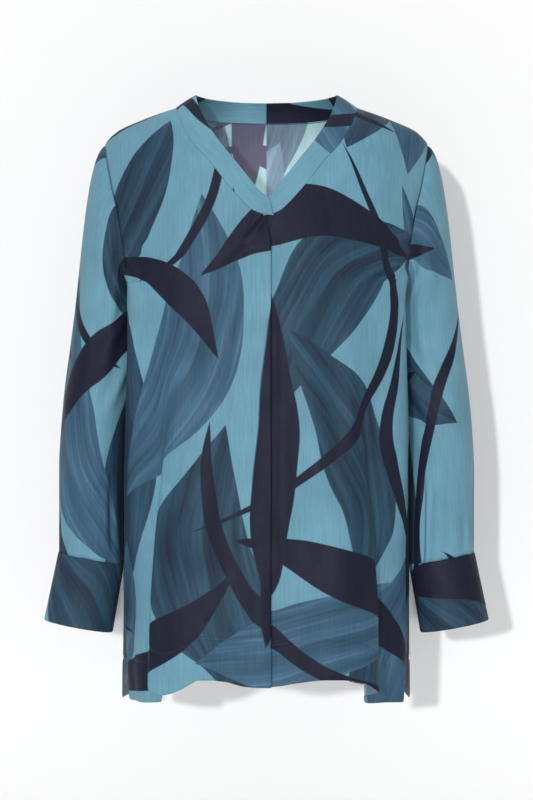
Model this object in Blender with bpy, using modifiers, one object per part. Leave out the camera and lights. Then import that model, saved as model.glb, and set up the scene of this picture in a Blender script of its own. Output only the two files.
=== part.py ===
"""Tunic blouse with a V neck, filled out as worn: metres, +Z up, front towards -Y, wearer's left at +X.

The origin is where the shoulders carry it: on the centre line, level with the shoulder seams at the neck.
The torso is one surface, worked out from a table of rings. A place on it is an angle round the ring, 0 at the
centre line and 90 degrees at the side seam, and a height. Front, backs, neckline and armholes are cut from
that surface.
"""

import math

import bpy
import numpy as np

# The wearer's sides, as signs of x
LEFT, RIGHT = 1, -1

# Driving sizes
WALL = 0.0012
# Each seam's gap is left by drawing the pieces' edges back: further where they meet at an angle, because
# their walls would cross there
SEAM_FLAT = 0.0002
SEAM_SHOULDER = 0.0007
SEAM_BAND_BACK = 0.0003
SEAM_BAND_FRONT = 0.0013
SEAM_CAP = 0.0009
SEAM_UNDERARM = 0.0030
SEAM_CUFF = 0.0003
SHOULDER_TIP_HEIGHT = -0.0475
UNDERARM_HEIGHT = -0.222
ARMHOLE_FRONT_HEIGHT = -0.190
SLIT_TOP_HEIGHT = -0.610
SLIT_SETBACK = 0.014
SLIT_OPENING_RUN = 0.1
HEM_HALF_DEPTH = 0.128

# The torso's rings. half_front and half_back are half widths, power is the superellipse's,
# and hollow is how far the hanging arm presses the side in.
TORSO_COLUMNS = ("height", "half_front", "half_back", "front", "back", "power", "hollow")
TORSO = (
    (-0.745, 0.1700, 0.1790, 0.128, 0.118, 2.3, 0.000),
    (-0.610, 0.1790, 0.1795, 0.127, 0.117, 2.3, 0.001),
    (-0.560, 0.1810, 0.1810, 0.126, 0.116, 2.3, 0.0037),
    (-0.530, 0.1832, 0.1828, 0.126, 0.115, 2.3, 0.0062),
    (-0.480, 0.1870, 0.1860, 0.125, 0.114, 2.3, 0.0102),
    (-0.450, 0.1892, 0.1875, 0.124, 0.113, 2.3, 0.0128),
    (-0.400, 0.1930, 0.1900, 0.123, 0.112, 2.3, 0.0205),
    (-0.350, 0.1962, 0.1926, 0.122, 0.111, 2.3, 0.0325),
    (-0.310, 0.1985, 0.1948, 0.121, 0.110, 2.3, 0.042),
    (-0.265, 0.1995, 0.1965, 0.120, 0.110, 2.3, 0.044),
    (-0.222, 0.2000, 0.1980, 0.118, 0.110, 2.3, 0.037),
    (-0.190, 0.1995, 0.1990, 0.116, 0.109, 2.3, 0.025),
    (-0.160, 0.2005, 0.2005, 0.113, 0.108, 2.25, 0.014),
    (-0.130, 0.2020, 0.2020, 0.109, 0.106, 2.15, 0.006),
    (-0.100, 0.2040, 0.2040, 0.104, 0.103, 2.1, 0.001),
    (-0.070, 0.2045, 0.2045, 0.092, 0.098, 2.1, 0.000),
    (SHOULDER_TIP_HEIGHT, 0.2015, 0.2015, 0.078, 0.092, 2.0, 0.000),
    (-0.032, 0.1890, 0.1890, 0.067, 0.086, 2.0, 0.000),
    (-0.015, 0.1530, 0.1530, 0.055, 0.077, 2.0, 0.000),
    (0.000, 0.1110, 0.1110, 0.044, 0.068, 2.0, 0.000),
)
# The arm presses hardest at this place front to back, and this far to both sides of it
ARM_PLACE = 0.008
ARM_SPREAD = 0.062

# The armhole, from underarm to shoulder tip: first round the underarm by angle, then up by distance from the
# centre line
UNDERARM_COLUMNS = ("share", "angle", "height")
UNDERARM = (
    (0.00, 90.0, UNDERARM_HEIGHT),
    (0.33, 81.5, -0.2190),
    (0.67, 72.0, -0.2090),
    (1.00, 62.5, ARMHOLE_FRONT_HEIGHT),
)
ARMHOLE_COLUMNS = ("share", "across", "height")
ARMHOLE = (
    (0.00, 0.1795, ARMHOLE_FRONT_HEIGHT),
    (0.20, 0.1835, -0.1650),
    (0.40, 0.1865, -0.1375),
    (0.62, 0.1915, -0.1050),
    (0.83, 0.1975, -0.0700),
    (1.00, 0.2015, SHOULDER_TIP_HEIGHT),
)

# The neckline of one half, from the centre line to the shoulder seam
NECKLINE_COLUMNS = ("across", "height")
FRONT_NECKLINE = (
    (0.0000, -0.1425),
    (0.0120, -0.1385),
    (0.0370, -0.1145),
    (0.0680, -0.0745),
    (0.0900, -0.0485),
    (0.1050, -0.0200),
    (0.1110, 0.0000),
)
BACK_NECKLINE = (
    (0.0000, -0.0110),
    (0.0450, -0.0105),
    (0.0800, -0.0080),
    (0.1010, -0.0045),
    (0.1110, 0.0000),
)
# The share of a panel's columns that end on the neckline; the rest end on the shoulder seam
NECK_SHARE = 0.50

# How low the hem hangs, by distance from the centre line; wearer's right is negative
HEM_COLUMNS = ("across", "height")
FRONT_HEM = (
    (-0.1720, -0.7365),
    (-0.1600, -0.7348),
    (-0.1500, -0.7315),
    (-0.1455, -0.7172),
    (-0.1233, -0.7158),
    (-0.1090, -0.7215),
    (-0.0973, -0.7156),
    (-0.0860, -0.7063),
    (-0.0765, -0.7034),
    (-0.0500, -0.7040),
    (-0.0250, -0.7090),
    (0.0000, -0.7100),
    (0.0350, -0.7070),
    (0.0700, -0.7035),
    (0.0830, -0.7045),
    (0.0905, -0.7140),
    (0.1135, -0.7212),
    (0.1365, -0.7222),
    (0.1420, -0.7310),
    (0.1530, -0.7348),
    (0.1720, -0.7375),
)
BACK_HEM = (
    (-0.180, -0.7370),
    (-0.115, -0.7340),
    (-0.060, -0.7380),
    (0.000, -0.7350),
    (0.060, -0.7380),
    (0.115, -0.7340),
    (0.180, -0.7370),
)

# Folds that run down the panels. top_place and hem_place are distances from the centre line, width is the
# fold's half width before it bends, reach is how far its layers slide over each other, lift is how far the
# layers stand apart, edge is how sharply they turn, start and full are the heights between which it deepens.
FOLD_COLUMNS = (
    "panel", "top_place", "hem_place", "width", "reach", "lift", "edge", "start", "full",
)
FOLDS = (
    ("front", 0.0045, -0.0010, 0.0055, 0.0110, 0.0064, 0.20, -0.1435, -0.185),
    ("front", 0.1190, 0.1263, 0.0200, 0.0255, 0.0200, 0.35, -0.290, -0.745),
    ("front", -0.1270, -0.1353, 0.0200, 0.0230, 0.0200, 0.35, -0.290, -0.745),
    ("back", 0.0980, 0.1120, 0.0200, 0.0200, 0.0180, 0.40, -0.260, -0.745),
    ("back", -0.1040, -0.1080, 0.0200, 0.0180, 0.0180, 0.40, -0.300, -0.745),
)
# Counted in half widths from a fold's middle: where its layers turn, and where the fold has died out
LAYER_TURN = 0.75
FOLD_WINDOW = 3.0
# A fold deepens from its upper end as this power of an eased share of the way down
FOLD_DEEPENING = 0.8
# A fold that is nearer to the centre line than this is the pleat, which faces the wearer's left
CENTRE_FOLD = 0.01
# Columns are shared out along half a ring: its length, and how much longer it is than its distance across
HALF_RING = 0.245
RING_OVER_ACROSS = 1.15

# The arm's rings below the cap: inner and outer are distances from the centre line, tilt leans the ring
# outwards, middle is its place front to back and depth its half size that way.
SLEEVE_COLUMNS = ("height", "inner", "outer", "tilt", "middle", "depth")
SLEEVE = (
    (-0.5620, 0.1792, 0.2588, 10.5, 0.000, 0.0375),
    (-0.5300, 0.1792, 0.2588, 7.0, 0.000, 0.0405),
    (-0.4500, 0.1785, 0.2588, 3.0, 0.002, 0.0470),
    (-0.4000, 0.1750, 0.2565, 1.5, 0.004, 0.0510),
    (-0.3500, 0.1670, 0.2520, 0.0, 0.006, 0.0550),
    (-0.3000, 0.1610, 0.2455, 0.0, 0.009, 0.0585),
    (-0.2600, 0.1610, 0.2405, 0.0, 0.011, 0.0590),
)
SLEEVE_POWER = 2.2
CAP_RUN = 0.075
# The way the cap leaves the armhole, as shares across, to the back and up: at the underarm, and what is added
# to that at the shoulder tip
LEAN_UNDERARM = (0.65, 0.0, -0.75)
LEAN_TIP = (0.25, -0.35, 0.30)
TUCK_ANGLE = math.radians(125)
TUCK_WIDTH = math.radians(9)
TUCK_DEPTH = 0.0030
TUCK_TOP_HEIGHT = -0.420

CUFF_ROWS = 4
CUFF_LENGTH = 0.0858
CUFF_TILT = math.radians(10.5)
CUFF_HEM_HALF_WIDTH = 0.0425
CUFF_HEM_HALF_DEPTH = 0.0395

# The neckband of one half. part says which neckline the seam side follows and share how far along it,
# from the centre line to the shoulder; the free edge is given by its place.
BAND_COLUMNS = ("part", "share", "across", "forward", "height")
BAND = (
    ("back", 0.00, 0.0000, -0.0640, 0.0135),
    ("back", 0.28, 0.0290, -0.0610, 0.0138),
    ("back", 0.56, 0.0560, -0.0490, 0.0145),
    ("back", 0.80, 0.0760, -0.0290, 0.0152),
    ("back", 1.00, 0.0870, 0.0000, 0.0155),
    ("front", 0.91, 0.0855, 0.0180, 0.0060),
    ("front", 0.80, 0.0790, 0.0340, -0.0120),
    ("front", 0.64, 0.0620, 0.0610, -0.0420),
    ("front", 0.42, 0.0390, 0.0850, -0.0730),
    ("front", 0.22, 0.0190, 0.0985, -0.0990),
    ("front", 0.11, 0.0085, 0.1035, -0.1125),
    ("front", 0.01, 0.0010, 0.1065, -0.1215),
)
# Both ends run on past the centre line at the V's foot: where the seam side and the free edge end
BAND_END = {LEFT: (-0.0040, 0.0010), RIGHT: (-0.0085, -0.0030)}
BAND_CROSSING = 0.0028
BAND_CROSSING_START = 0.84
BAND_CROSSING_RUN = 0.10
BAND_SHOULDER_START = 0.10
BAND_SHOULDER_RUN = 0.25
BAND_BULGE = 0.0010
BAND_PLACES = 29
BAND_ROWS = (0, 0.5, 1)

# The printed cloth, the same on every piece but for the colours that the print brings there
CLOTH_ROUGHNESS = 0.6
CLOTH_COLOURS = {
    "front_panel": (0.16, 0.32, 0.40, 1.0),
    "back_left": (0.12, 0.25, 0.33, 1.0),
    "back_right": (0.12, 0.25, 0.33, 1.0),
    "sleeve_left": (0.18, 0.36, 0.44, 1.0),
    "sleeve_right": (0.18, 0.36, 0.44, 1.0),
    "cuff_left": (0.05, 0.10, 0.15, 1.0),
    "cuff_right": (0.05, 0.10, 0.15, 1.0),
    "neckband_left": (0.20, 0.40, 0.48, 1.0),
    "neckband_right": (0.20, 0.40, 0.48, 1.0),
}

# How many points each curve is measured by
TRACE_STEPS = 160
SHOULDER_STEPS = 200
NECKLINE_STEPS = 120
UNDERARM_STEPS = 40
ARMHOLE_UPPER_STEPS = 120
ARMHOLE_STEPS = 200
# Steps to a neighbouring place, for directions: an angle, and a share of the armhole or a height
ANGLE_STEP = 1e-3
NEARBY = 0.01
# A place OFF_CENTRE from the centre line has a side, points within ON_RIDGE of y = 0 lie on the shoulders,
# and no length is divided by less than TINY
OFF_CENTRE = 1e-6
TINY = 1e-9
ON_RIDGE = 1e-3

FRONT, BACK = -1, 1


def column(rows, names, name):
    """One named column of a table, as an array."""
    return np.array([row[names.index(name)] for row in rows], dtype=float)


def smooth(at, xs, ys):
    """A curve through the points (xs, ys) that doesn't swing past them. xs rises."""
    steps = np.diff(xs)
    rises = np.diff(ys) / steps
    slopes = np.empty(len(xs))
    slopes[0], slopes[-1] = rises[0], rises[-1]
    product = rises[:-1] * rises[1:]
    total = rises[:-1] + rises[1:]
    slopes[1:-1] = np.where(product > 0, 2 * product / np.where(total == 0, 1, total), 0)
    at = np.clip(at, xs[0], xs[-1])
    cell = np.clip(np.searchsorted(xs, at) - 1, 0, len(steps) - 1)
    h = steps[cell]
    w = (at - xs[cell]) / h
    return (
        ys[cell] * (1 + 2 * w) * (1 - w) ** 2
        + ys[cell + 1] * w * w * (3 - 2 * w)
        + slopes[cell] * h * w * (1 - w) ** 2
        - slopes[cell + 1] * h * w * w * (1 - w)
    )


def ease(w):
    """Rises smoothly from 0 to 1 as w does."""
    w = np.clip(w, 0, 1)
    return w * w * (3 - 2 * w)


HEIGHTS = column(TORSO, TORSO_COLUMNS, "height")


def torso_size(name, z):
    return smooth(z, HEIGHTS, column(TORSO, TORSO_COLUMNS, name))


def half_width(side, z):
    return torso_size("half_front" if side == FRONT else "half_back", z)


def torso_point(side, angle, z):
    """The place on the torso at an angle from the centre line and a height, one array of points."""
    power = torso_size("power", z)
    depth = torso_size("front" if side == FRONT else "back", z)
    across = half_width(side, z) * np.abs(np.sin(angle)) ** (2 / power)
    y = side * depth * np.clip(np.cos(angle), 0, 1) ** (2 / power)
    across = across - torso_size("hollow", z) * np.exp(-(((y - ARM_PLACE) / ARM_SPREAD) ** 4))
    # The arm's hollow never carries a place on the front or back across the centre line.
    across = np.maximum(across, 0) * np.sign(np.sin(angle))
    return np.stack([across, y, z + 0 * across], axis=-1)


def angle_across(side, across, z):
    """The angle whose place on the ring at height z is that far from the centre line, without the hollow."""
    share = np.clip(np.abs(across) / half_width(side, z), 0, 1)
    return np.arcsin(share ** (torso_size("power", z) / 2)) * np.sign(across)


def trace(side, z, last_angle):
    """Angles from the centre line out to last_angle at height z, with the length of cloth to each."""
    angles = np.linspace(0, last_angle, TRACE_STEPS)
    points = torso_point(side, angles, np.full(TRACE_STEPS, z))
    lengths = np.concatenate([[0], np.cumsum(np.linalg.norm(np.diff(points, axis=0), axis=1))])
    return angles, lengths


def shoulder_height(across):
    """The height of the shoulder line that far from the centre line."""
    z = np.linspace(SHOULDER_TIP_HEIGHT, 0.0, SHOULDER_STEPS)
    return np.interp(across, half_width(FRONT, z)[::-1], z[::-1])


def along_line(line, share):
    """(across, height) at a share of the line's length, from its first point."""
    steps = np.linspace(0, 1, NECKLINE_STEPS)
    knots = np.linspace(0, 1, len(line))
    across = smooth(steps, knots, column(line, NECKLINE_COLUMNS, "across"))
    height = smooth(steps, knots, column(line, NECKLINE_COLUMNS, "height"))
    length = np.concatenate([[0], np.cumsum(np.hypot(np.diff(across), np.diff(height)))])
    where = np.interp(share, length / length[-1], steps)
    return np.interp(where, steps, across), np.interp(where, steps, height)


def neckline_point(side, share, sign):
    """A point of the neckline seam, share of the way from the centre line to the shoulder."""
    line = FRONT_NECKLINE if side == FRONT else BACK_NECKLINE
    across, height = along_line(line, share)
    angle = angle_across(side, sign * np.maximum(across, OFF_CENTRE), height)
    return torso_point(side, angle, height)


def top_line(side, share):
    """(across, height) along a panel's top: neckline, then shoulder seam out to the tip."""
    line = FRONT_NECKLINE if side == FRONT else BACK_NECKLINE
    if share <= NECK_SHARE:
        return along_line(line, share / NECK_SHARE)
    neck, tip = half_width(FRONT, 0.0), half_width(FRONT, SHOULDER_TIP_HEIGHT)
    across = neck + (tip - neck) * (share - NECK_SHARE) / (1 - NECK_SHARE)
    return across, shoulder_height(across)


def armhole_place(share):
    """(across, height) of the armhole's upper run, from the front of the underarm to the tip."""
    shares = column(ARMHOLE, ARMHOLE_COLUMNS, "share")
    across = smooth(share, shares, column(ARMHOLE, ARMHOLE_COLUMNS, "across"))
    return across, smooth(share, shares, column(ARMHOLE, ARMHOLE_COLUMNS, "height"))


def underarm_place(share):
    """(angle, height) of the armhole's lower run, from the side seam forwards."""
    shares = column(UNDERARM, UNDERARM_COLUMNS, "share")
    angle = np.radians(smooth(share, shares, column(UNDERARM, UNDERARM_COLUMNS, "angle")))
    return angle, smooth(share, shares, column(UNDERARM, UNDERARM_COLUMNS, "height"))


def armhole_loop(side, steps):
    """Points of one panel's armhole from the underarm to the shoulder tip, evenly spaced, for the left."""
    low = []
    for w in np.linspace(0, 1, UNDERARM_STEPS):
        angle, z = underarm_place(w)
        low.append(torso_point(side, np.array(angle), np.array(z)))
    high = []
    for w in np.linspace(0, 1, ARMHOLE_UPPER_STEPS)[1:]:
        across, z = armhole_place(w)
        high.append(torso_point(side, angle_across(side, across, z), np.array(z)))
    points = np.array(low + high)
    length = np.concatenate([[0], np.cumsum(np.linalg.norm(np.diff(points, axis=0), axis=1))])
    where = np.linspace(0, length[-1], steps)
    return np.stack([np.interp(where, length, points[:, axis]) for axis in range(3)], axis=-1)


def fold_shift(q, reach, lift, edge):
    """How far a fold moves the cloth along the panel and outwards, q half widths from the fold's middle."""
    along = -reach * q * np.exp((1 - q * q) / 2)
    step = np.tanh((q - LAYER_TURN) / edge) + np.tanh((q + LAYER_TURN) / edge)
    return along, -lift / 4 * step * np.exp(-((q / FOLD_WINDOW) ** 6))


def fold_row(fold):
    return dict(zip(FOLD_COLUMNS, fold))


def panel_folds(side, sign):
    """The folds of the front, or of one back, which is always worked out as the left one."""
    name = "front" if side == FRONT else "back"
    folds = [fold_row(fold) for fold in FOLDS if fold[0] == name]
    if side == FRONT:
        return folds
    own = [fold for fold in folds if fold["hem_place"] * sign > 0]
    for fold in own:
        fold["top_place"], fold["hem_place"] = abs(fold["top_place"]), abs(fold["hem_place"])
    return own


def fold_place(fold, z):
    """The fold's distance from the centre line at height z."""
    w = (fold["start"] - z) / (fold["start"] - fold["full"])
    return fold["top_place"] + (fold["hem_place"] - fold["top_place"]) * np.clip(w, 0, 1)


def fold_depth(fold, z):
    return float(ease((fold["start"] - z) / (fold["start"] - fold["full"]))) ** FOLD_DEEPENING


def side_angle(side, z):
    """The angle of a panel's side edge: the seam, then the slit's edge, which hangs back from it."""
    if side == BACK:
        return math.pi / 2
    open_share = float(ease((SLIT_TOP_HEIGHT - z) / SLIT_OPENING_RUN))
    return math.pi / 2 - open_share * SLIT_SETBACK / HEM_HALF_DEPTH


def column_home(fold):
    """The column in the middle of a fold."""
    return fold["hem_place"] * RING_OVER_ACROSS / HALF_RING


def column_width(fold):
    """How many columns' share half a fold takes."""
    return fold["width"] / HALF_RING


def share_at(side, sign, u, z, last_angle):
    """The share of the ring that column u takes at height z, so that each fold keeps its own columns."""
    angles, lengths = trace(side, z, last_angle)
    total = lengths[-1]
    knots = [(-1.0, -1.0) if side == FRONT else (0.0, 0.0), (1.0, 1.0)]
    for fold in panel_folds(side, sign):
        place = fold_place(fold, z)
        here = np.interp(angle_across(side, abs(place), z), angles, lengths)
        here = math.copysign(here, place)
        for q in (-FOLD_WINDOW, FOLD_WINDOW):
            knots.append((column_home(fold) + q * column_width(fold), (here + q * fold["width"]) / total))
    us, shares = zip(*sorted(knots))
    return float(np.interp(u, us, shares)), total


def ring_place(side, sign, u, z, last_angle):
    """The point of a folded ring at column u, below the armholes."""
    share, total = share_at(side, sign, u, z, last_angle)
    angles, lengths = trace(side, z, last_angle)
    here = share * total
    angle = math.copysign(float(np.interp(abs(here), lengths, angles)), here)
    return bend(side, sign, angle, z, here, angles, lengths)


def bend(side, sign, angle, z, here, angles, lengths):
    """A place on the smooth torso, moved by the folds near it."""
    point = torso_point(side, np.array(angle), np.array(z))
    ahead = torso_point(side, np.array(abs(angle) + ANGLE_STEP), np.array(z))
    behind = torso_point(side, np.array(abs(angle) - ANGLE_STEP), np.array(z))
    outward = math.copysign(1, angle)
    tangent = (ahead - behind) / max(np.linalg.norm(ahead - behind), TINY)
    tangent[0] *= outward
    normal = side * outward * np.array([-tangent[1], tangent[0], 0.0])
    shift = np.zeros(3)
    for fold in panel_folds(side, sign):
        place = fold_place(fold, z)
        depth = fold_depth(fold, z)
        middle = np.interp(angle_across(side, abs(place), z), angles, lengths)
        middle = math.copysign(middle, place)
        facing = 1 if abs(place) < CENTRE_FOLD else math.copysign(1, place)
        q = (here - middle) * facing / fold["width"]
        along, out = fold_shift(q, fold["reach"] * depth, fold["lift"] * depth, fold["edge"])
        shift = shift + along * tangent * outward * facing + out * normal
    return point + shift


def hem_height(side, across):
    rows = FRONT_HEM if side == FRONT else BACK_HEM
    return smooth(across, column(rows, HEM_COLUMNS, "across"), column(rows, HEM_COLUMNS, "height"))


# A panel's rows: shares of the way from the hem's level to the underarm, then to the front of the armhole,
# then to the top line
HEM_LEVEL = -0.735
HEM_SAMPLE_HEIGHT = -0.70
LOW_ROWS = np.array([0, 0.035, 0.07, 0.13, 0.20, 0.28, 0.37, 0.46, 0.55, 0.64, 0.73, 0.82, 0.91, 1])
UNDERARM_ROWS = np.array([0.33, 0.67, 1])
HIGH_ROWS = np.array([0.16, 0.33, 0.50, 0.66, 0.79, 0.89, 0.95, 0.985, 1])


def hem_under(side, sign, u):
    """The hem's height under column u, read where the smooth ring stands above the hem."""
    share, total = share_at(side, sign, u, HEM_SAMPLE_HEIGHT, math.pi / 2)
    angles, lengths = trace(side, HEM_SAMPLE_HEIGHT, math.pi / 2)
    angle = math.copysign(np.interp(abs(share) * total, lengths, angles), share)
    across = torso_point(side, np.array(angle), np.array(HEM_SAMPLE_HEIGHT))[0]
    return float(hem_height(side, across * (sign if side == BACK else 1)))


def panel(side, sign, columns):
    """A torso panel's grid of points, rows from the hem up, columns from -1 or 0 to 1."""
    rows = []
    for low in LOW_ROWS:
        row = []
        for u in columns:
            level = HEM_LEVEL + (UNDERARM_HEIGHT - HEM_LEVEL) * low
            z = level + (hem_under(side, sign, u) - HEM_LEVEL) * (1 - low) ** 2
            row.append(ring_place(side, sign, u, z, side_angle(side, z)))
        rows.append(row)
    for low in UNDERARM_ROWS:
        edge_angle, edge_height = underarm_place(low)
        flat_height = UNDERARM_HEIGHT + (ARMHOLE_FRONT_HEIGHT - UNDERARM_HEIGHT) * low
        row = []
        for u in columns:
            share, _ = share_at(side, sign, u, UNDERARM_HEIGHT, math.pi / 2)
            z = flat_height + (float(edge_height) - flat_height) * abs(share) ** 3
            angles, lengths = trace(side, z, float(edge_angle))
            here = share * lengths[-1]
            angle = math.copysign(float(np.interp(abs(here), lengths, angles)), here)
            row.append(bend(side, sign, angle, z, here, angles, lengths))
        rows.append(row)
    for high in HIGH_ROWS:
        rows.append([upper_place(side, sign, u, high) for u in columns])
    grid = np.array(rows, dtype=float)
    if side == BACK:
        grid[:, :, 0] *= sign
    return grid


def upper_place(side, sign, u, high):
    """A point above the underarm: the chest row, top line and armhole, blended across the panel."""
    share, _ = share_at(side, sign, u, UNDERARM_HEIGHT, math.pi / 2)
    size = abs(share)
    base = ARMHOLE_FRONT_HEIGHT
    last = float(underarm_place(1.0)[0])
    angles, lengths = trace(side, base, last)
    chest_angle = float(np.interp(size * lengths[-1], lengths, angles))
    power = torso_size("power", base)
    chest = np.array([half_width(side, base) * math.sin(chest_angle) ** (2 / power), base])
    chest_end = np.array([half_width(side, base) * math.sin(last) ** (2 / power), base])
    top = np.array(top_line(side, size), dtype=float)
    top_end = np.array(top_line(side, 1.0), dtype=float)
    edge = np.array(armhole_place(high), dtype=float)
    place = (1 - high) * chest + high * top
    place = place + size * (edge - (1 - high) * chest_end - high * top_end)
    outward = math.copysign(1, share)
    across, z = place
    angle = float(angle_across(side, max(across, OFF_CENTRE), z))
    angles, lengths = trace(side, z, math.pi / 2)
    here = outward * float(np.interp(angle, angles, lengths))
    return bend(side, sign, outward * angle, float(z), here, angles, lengths)


def draw_back(line, beside, distance):
    """Moves an edge of a grid, in place, towards the row or column beside it."""
    step = beside - line
    line += step / np.maximum(np.linalg.norm(step, axis=-1, keepdims=True), TINY) * distance


def leave_seams(grid):
    """Opens the gaps at a torso panel's sides and top. The shoulder seams lie on the ridge, where y is 0."""
    on_ridge = np.abs(grid[-1][:, 1:2]) < ON_RIDGE
    draw_back(grid[-1], grid[-2], np.where(on_ridge, SEAM_SHOULDER, SEAM_FLAT))
    draw_back(grid[:, 0], grid[:, 1], SEAM_FLAT)
    draw_back(grid[:, -1], grid[:, -2], SEAM_FLAT)


def sleeve_size(name, z):
    heights = column(SLEEVE, SLEEVE_COLUMNS, "height")
    return smooth(z, heights, column(SLEEVE, SLEEVE_COLUMNS, name))


def oval(centre, half_wide, half_deep, tilt, turn):
    """A point of a leaning oval, turn 0 on its outer side, then forwards."""
    power = 2 / SLEEVE_POWER
    wide = half_wide * math.copysign(abs(math.cos(turn)) ** power, math.cos(turn))
    deep = half_deep * math.copysign(abs(math.sin(turn)) ** power, math.sin(turn))
    return np.array([
        centre[0] + wide * math.cos(tilt), centre[1] - deep, centre[2] + wide * math.sin(tilt)
    ])


def sleeve_ring(z, turn, shrink=0.0):
    """A point of the arm below the cap, at a ring's middle height and a turn round it."""
    inner, outer = sleeve_size("inner", z), sleeve_size("outer", z)
    tilt = math.radians(sleeve_size("tilt", z))
    half = (outer - inner) / 2 / math.cos(tilt) - shrink
    centre = ((outer + inner) / 2, sleeve_size("middle", z), z)
    return oval(centre, half, sleeve_size("depth", z) - shrink, tilt, turn)


SLEEVE_TURNS = 22
CAP_ROWS = np.array([0, 0.06, 0.16, 0.30, 0.47, 0.65, 0.83, 1])
ARM_HEIGHTS = np.array([-0.30, -0.34, -0.38, -0.42, -0.46, -0.50, -0.535, -0.562])


def sleeve(turns):
    """The left sleeve's grid, rows from the armhole to the cuff, one column for each turn, no seam."""
    front = armhole_loop(FRONT, ARMHOLE_STEPS)
    back = armhole_loop(BACK, ARMHOLE_STEPS)
    shares = np.linspace(0, 1, ARMHOLE_STEPS)
    top_ring = SLEEVE[-1][0]
    columns_of_points = []
    for turn in turns:
        share = 1 - (turn if turn <= math.pi else 2 * math.pi - turn) / math.pi
        loop = front if turn <= math.pi else back
        start = np.array([np.interp(share, shares, loop[:, k]) for k in range(3)])
        ahead = np.array([np.interp(share + NEARBY, shares, loop[:, k]) for k in range(3)])
        behind = np.array([np.interp(share - NEARBY, shares, loop[:, k]) for k in range(3)])
        along = ahead - behind
        along /= np.linalg.norm(along)
        outer = (1 + math.cos(turn)) / 2
        lean = np.array([
            LEAN_UNDERARM[0] + LEAN_TIP[0] * outer,
            LEAN_UNDERARM[1] + LEAN_TIP[1] * math.sin(turn) * outer,
            LEAN_UNDERARM[2] + LEAN_TIP[2] * outer,
        ])
        lean /= np.linalg.norm(lean)
        away = lean - along * lean.dot(along)
        away /= np.linalg.norm(away)
        start = start + away * (SEAM_UNDERARM + (SEAM_CAP - SEAM_UNDERARM) * outer)
        end = sleeve_ring(top_ring, turn)
        down = sleeve_ring(top_ring - NEARBY, turn) - end
        down /= np.linalg.norm(down)
        drop = np.linalg.norm(end - start)
        line = []
        for w in CAP_ROWS:
            line.append(
                start * (1 + 2 * w) * (1 - w) ** 2
                + end * w * w * (3 - 2 * w)
                + lean * min(CAP_RUN, drop) * w * (1 - w) ** 2
                - down * drop * w * w * (1 - w)
            )
        for z in ARM_HEIGHTS:
            tuck = float(ease((TUCK_TOP_HEIGHT - z) / (TUCK_TOP_HEIGHT - ARM_HEIGHTS[-1])))
            tuck *= TUCK_DEPTH * math.exp(-(((turn - TUCK_ANGLE) / TUCK_WIDTH) ** 2))
            line.append(sleeve_ring(z, turn, tuck))
        columns_of_points.append(line)
    return np.array(columns_of_points).transpose(1, 0, 2)


def cuff(turns):
    """The left cuff's grid, from the sleeve seam to the hand."""
    z = ARM_HEIGHTS[-1]
    tilt = math.radians(sleeve_size("tilt", z))
    inner, outer = float(sleeve_size("inner", z)), float(sleeve_size("outer", z))
    top_half = (outer - inner) / 2 / math.cos(tilt)
    top_depth = float(sleeve_size("depth", z))
    axis = np.array([math.sin(CUFF_TILT), 0.0, -math.cos(CUFF_TILT)])
    top = np.array([(outer + inner) / 2, float(sleeve_size("middle", z)), z])
    rows = []
    for w in np.linspace(0, 1, CUFF_ROWS):
        centre = top + axis * (SEAM_CUFF + (CUFF_LENGTH - SEAM_CUFF) * w)
        wide = top_half + (CUFF_HEM_HALF_WIDTH - top_half) * w
        deep = top_depth + (CUFF_HEM_HALF_DEPTH - top_depth) * w
        rows.append([oval(centre, wide, deep, CUFF_TILT, turn) for turn in turns])
    return np.array(rows)


def band(sign):
    """One half of the neckband, rows from the seam to the free edge, columns from the centre back."""
    stations = np.linspace(0, 1, len(BAND))
    seam, free = [], []
    for part, share, across, forward, height in BAND:
        side = BACK if part == "back" else FRONT
        point = neckline_point(side, share, LEFT)
        seam.append(point)
        free.append(np.array([across, -forward, height]))
    seam, free = np.array(seam), np.array(free)
    seam[-1][0], free[-1][0] = BAND_END[sign]
    places = np.linspace(0, 1, BAND_PLACES)
    rows = []
    for w in BAND_ROWS:
        line = []
        for place in places:
            low = np.array([smooth(place, stations, seam[:, k]) for k in range(3)])
            high = np.array([smooth(place, stations, free[:, k]) for k in range(3)])
            across = high - low
            across /= np.linalg.norm(across)
            to_front = float(ease((place - BAND_SHOULDER_START) / BAND_SHOULDER_RUN))
            low = low + across * (SEAM_BAND_BACK + (SEAM_BAND_FRONT - SEAM_BAND_BACK) * to_front)
            point = low + (high - low) * w
            out = np.array([point[0], point[1], 0.0])
            out /= max(np.linalg.norm(out), TINY)
            point = point + out * BAND_BULGE * 4 * w * (1 - w)
            crossing = float(ease((place - BAND_CROSSING_START) / BAND_CROSSING_RUN))
            # The right end lies over the left end.
            if sign == RIGHT:
                point[1] -= BAND_CROSSING * crossing
            line.append(point)
        rows.append(line)
    grid = np.array(rows)
    grid[:, :, 0] *= sign
    grid[:, 0, 0] += sign * SEAM_FLAT
    return grid


def cloth_material(name):
    material = bpy.data.materials.new(f"printed viscose {name}")
    material.use_nodes = True
    shader = material.node_tree.nodes["Principled BSDF"]
    shader.inputs["Base Color"].default_value = CLOTH_COLOURS[name]
    shader.inputs["Roughness"].default_value = CLOTH_ROUGHNESS
    shader.inputs["Metallic"].default_value = 0.0
    return material


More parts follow.
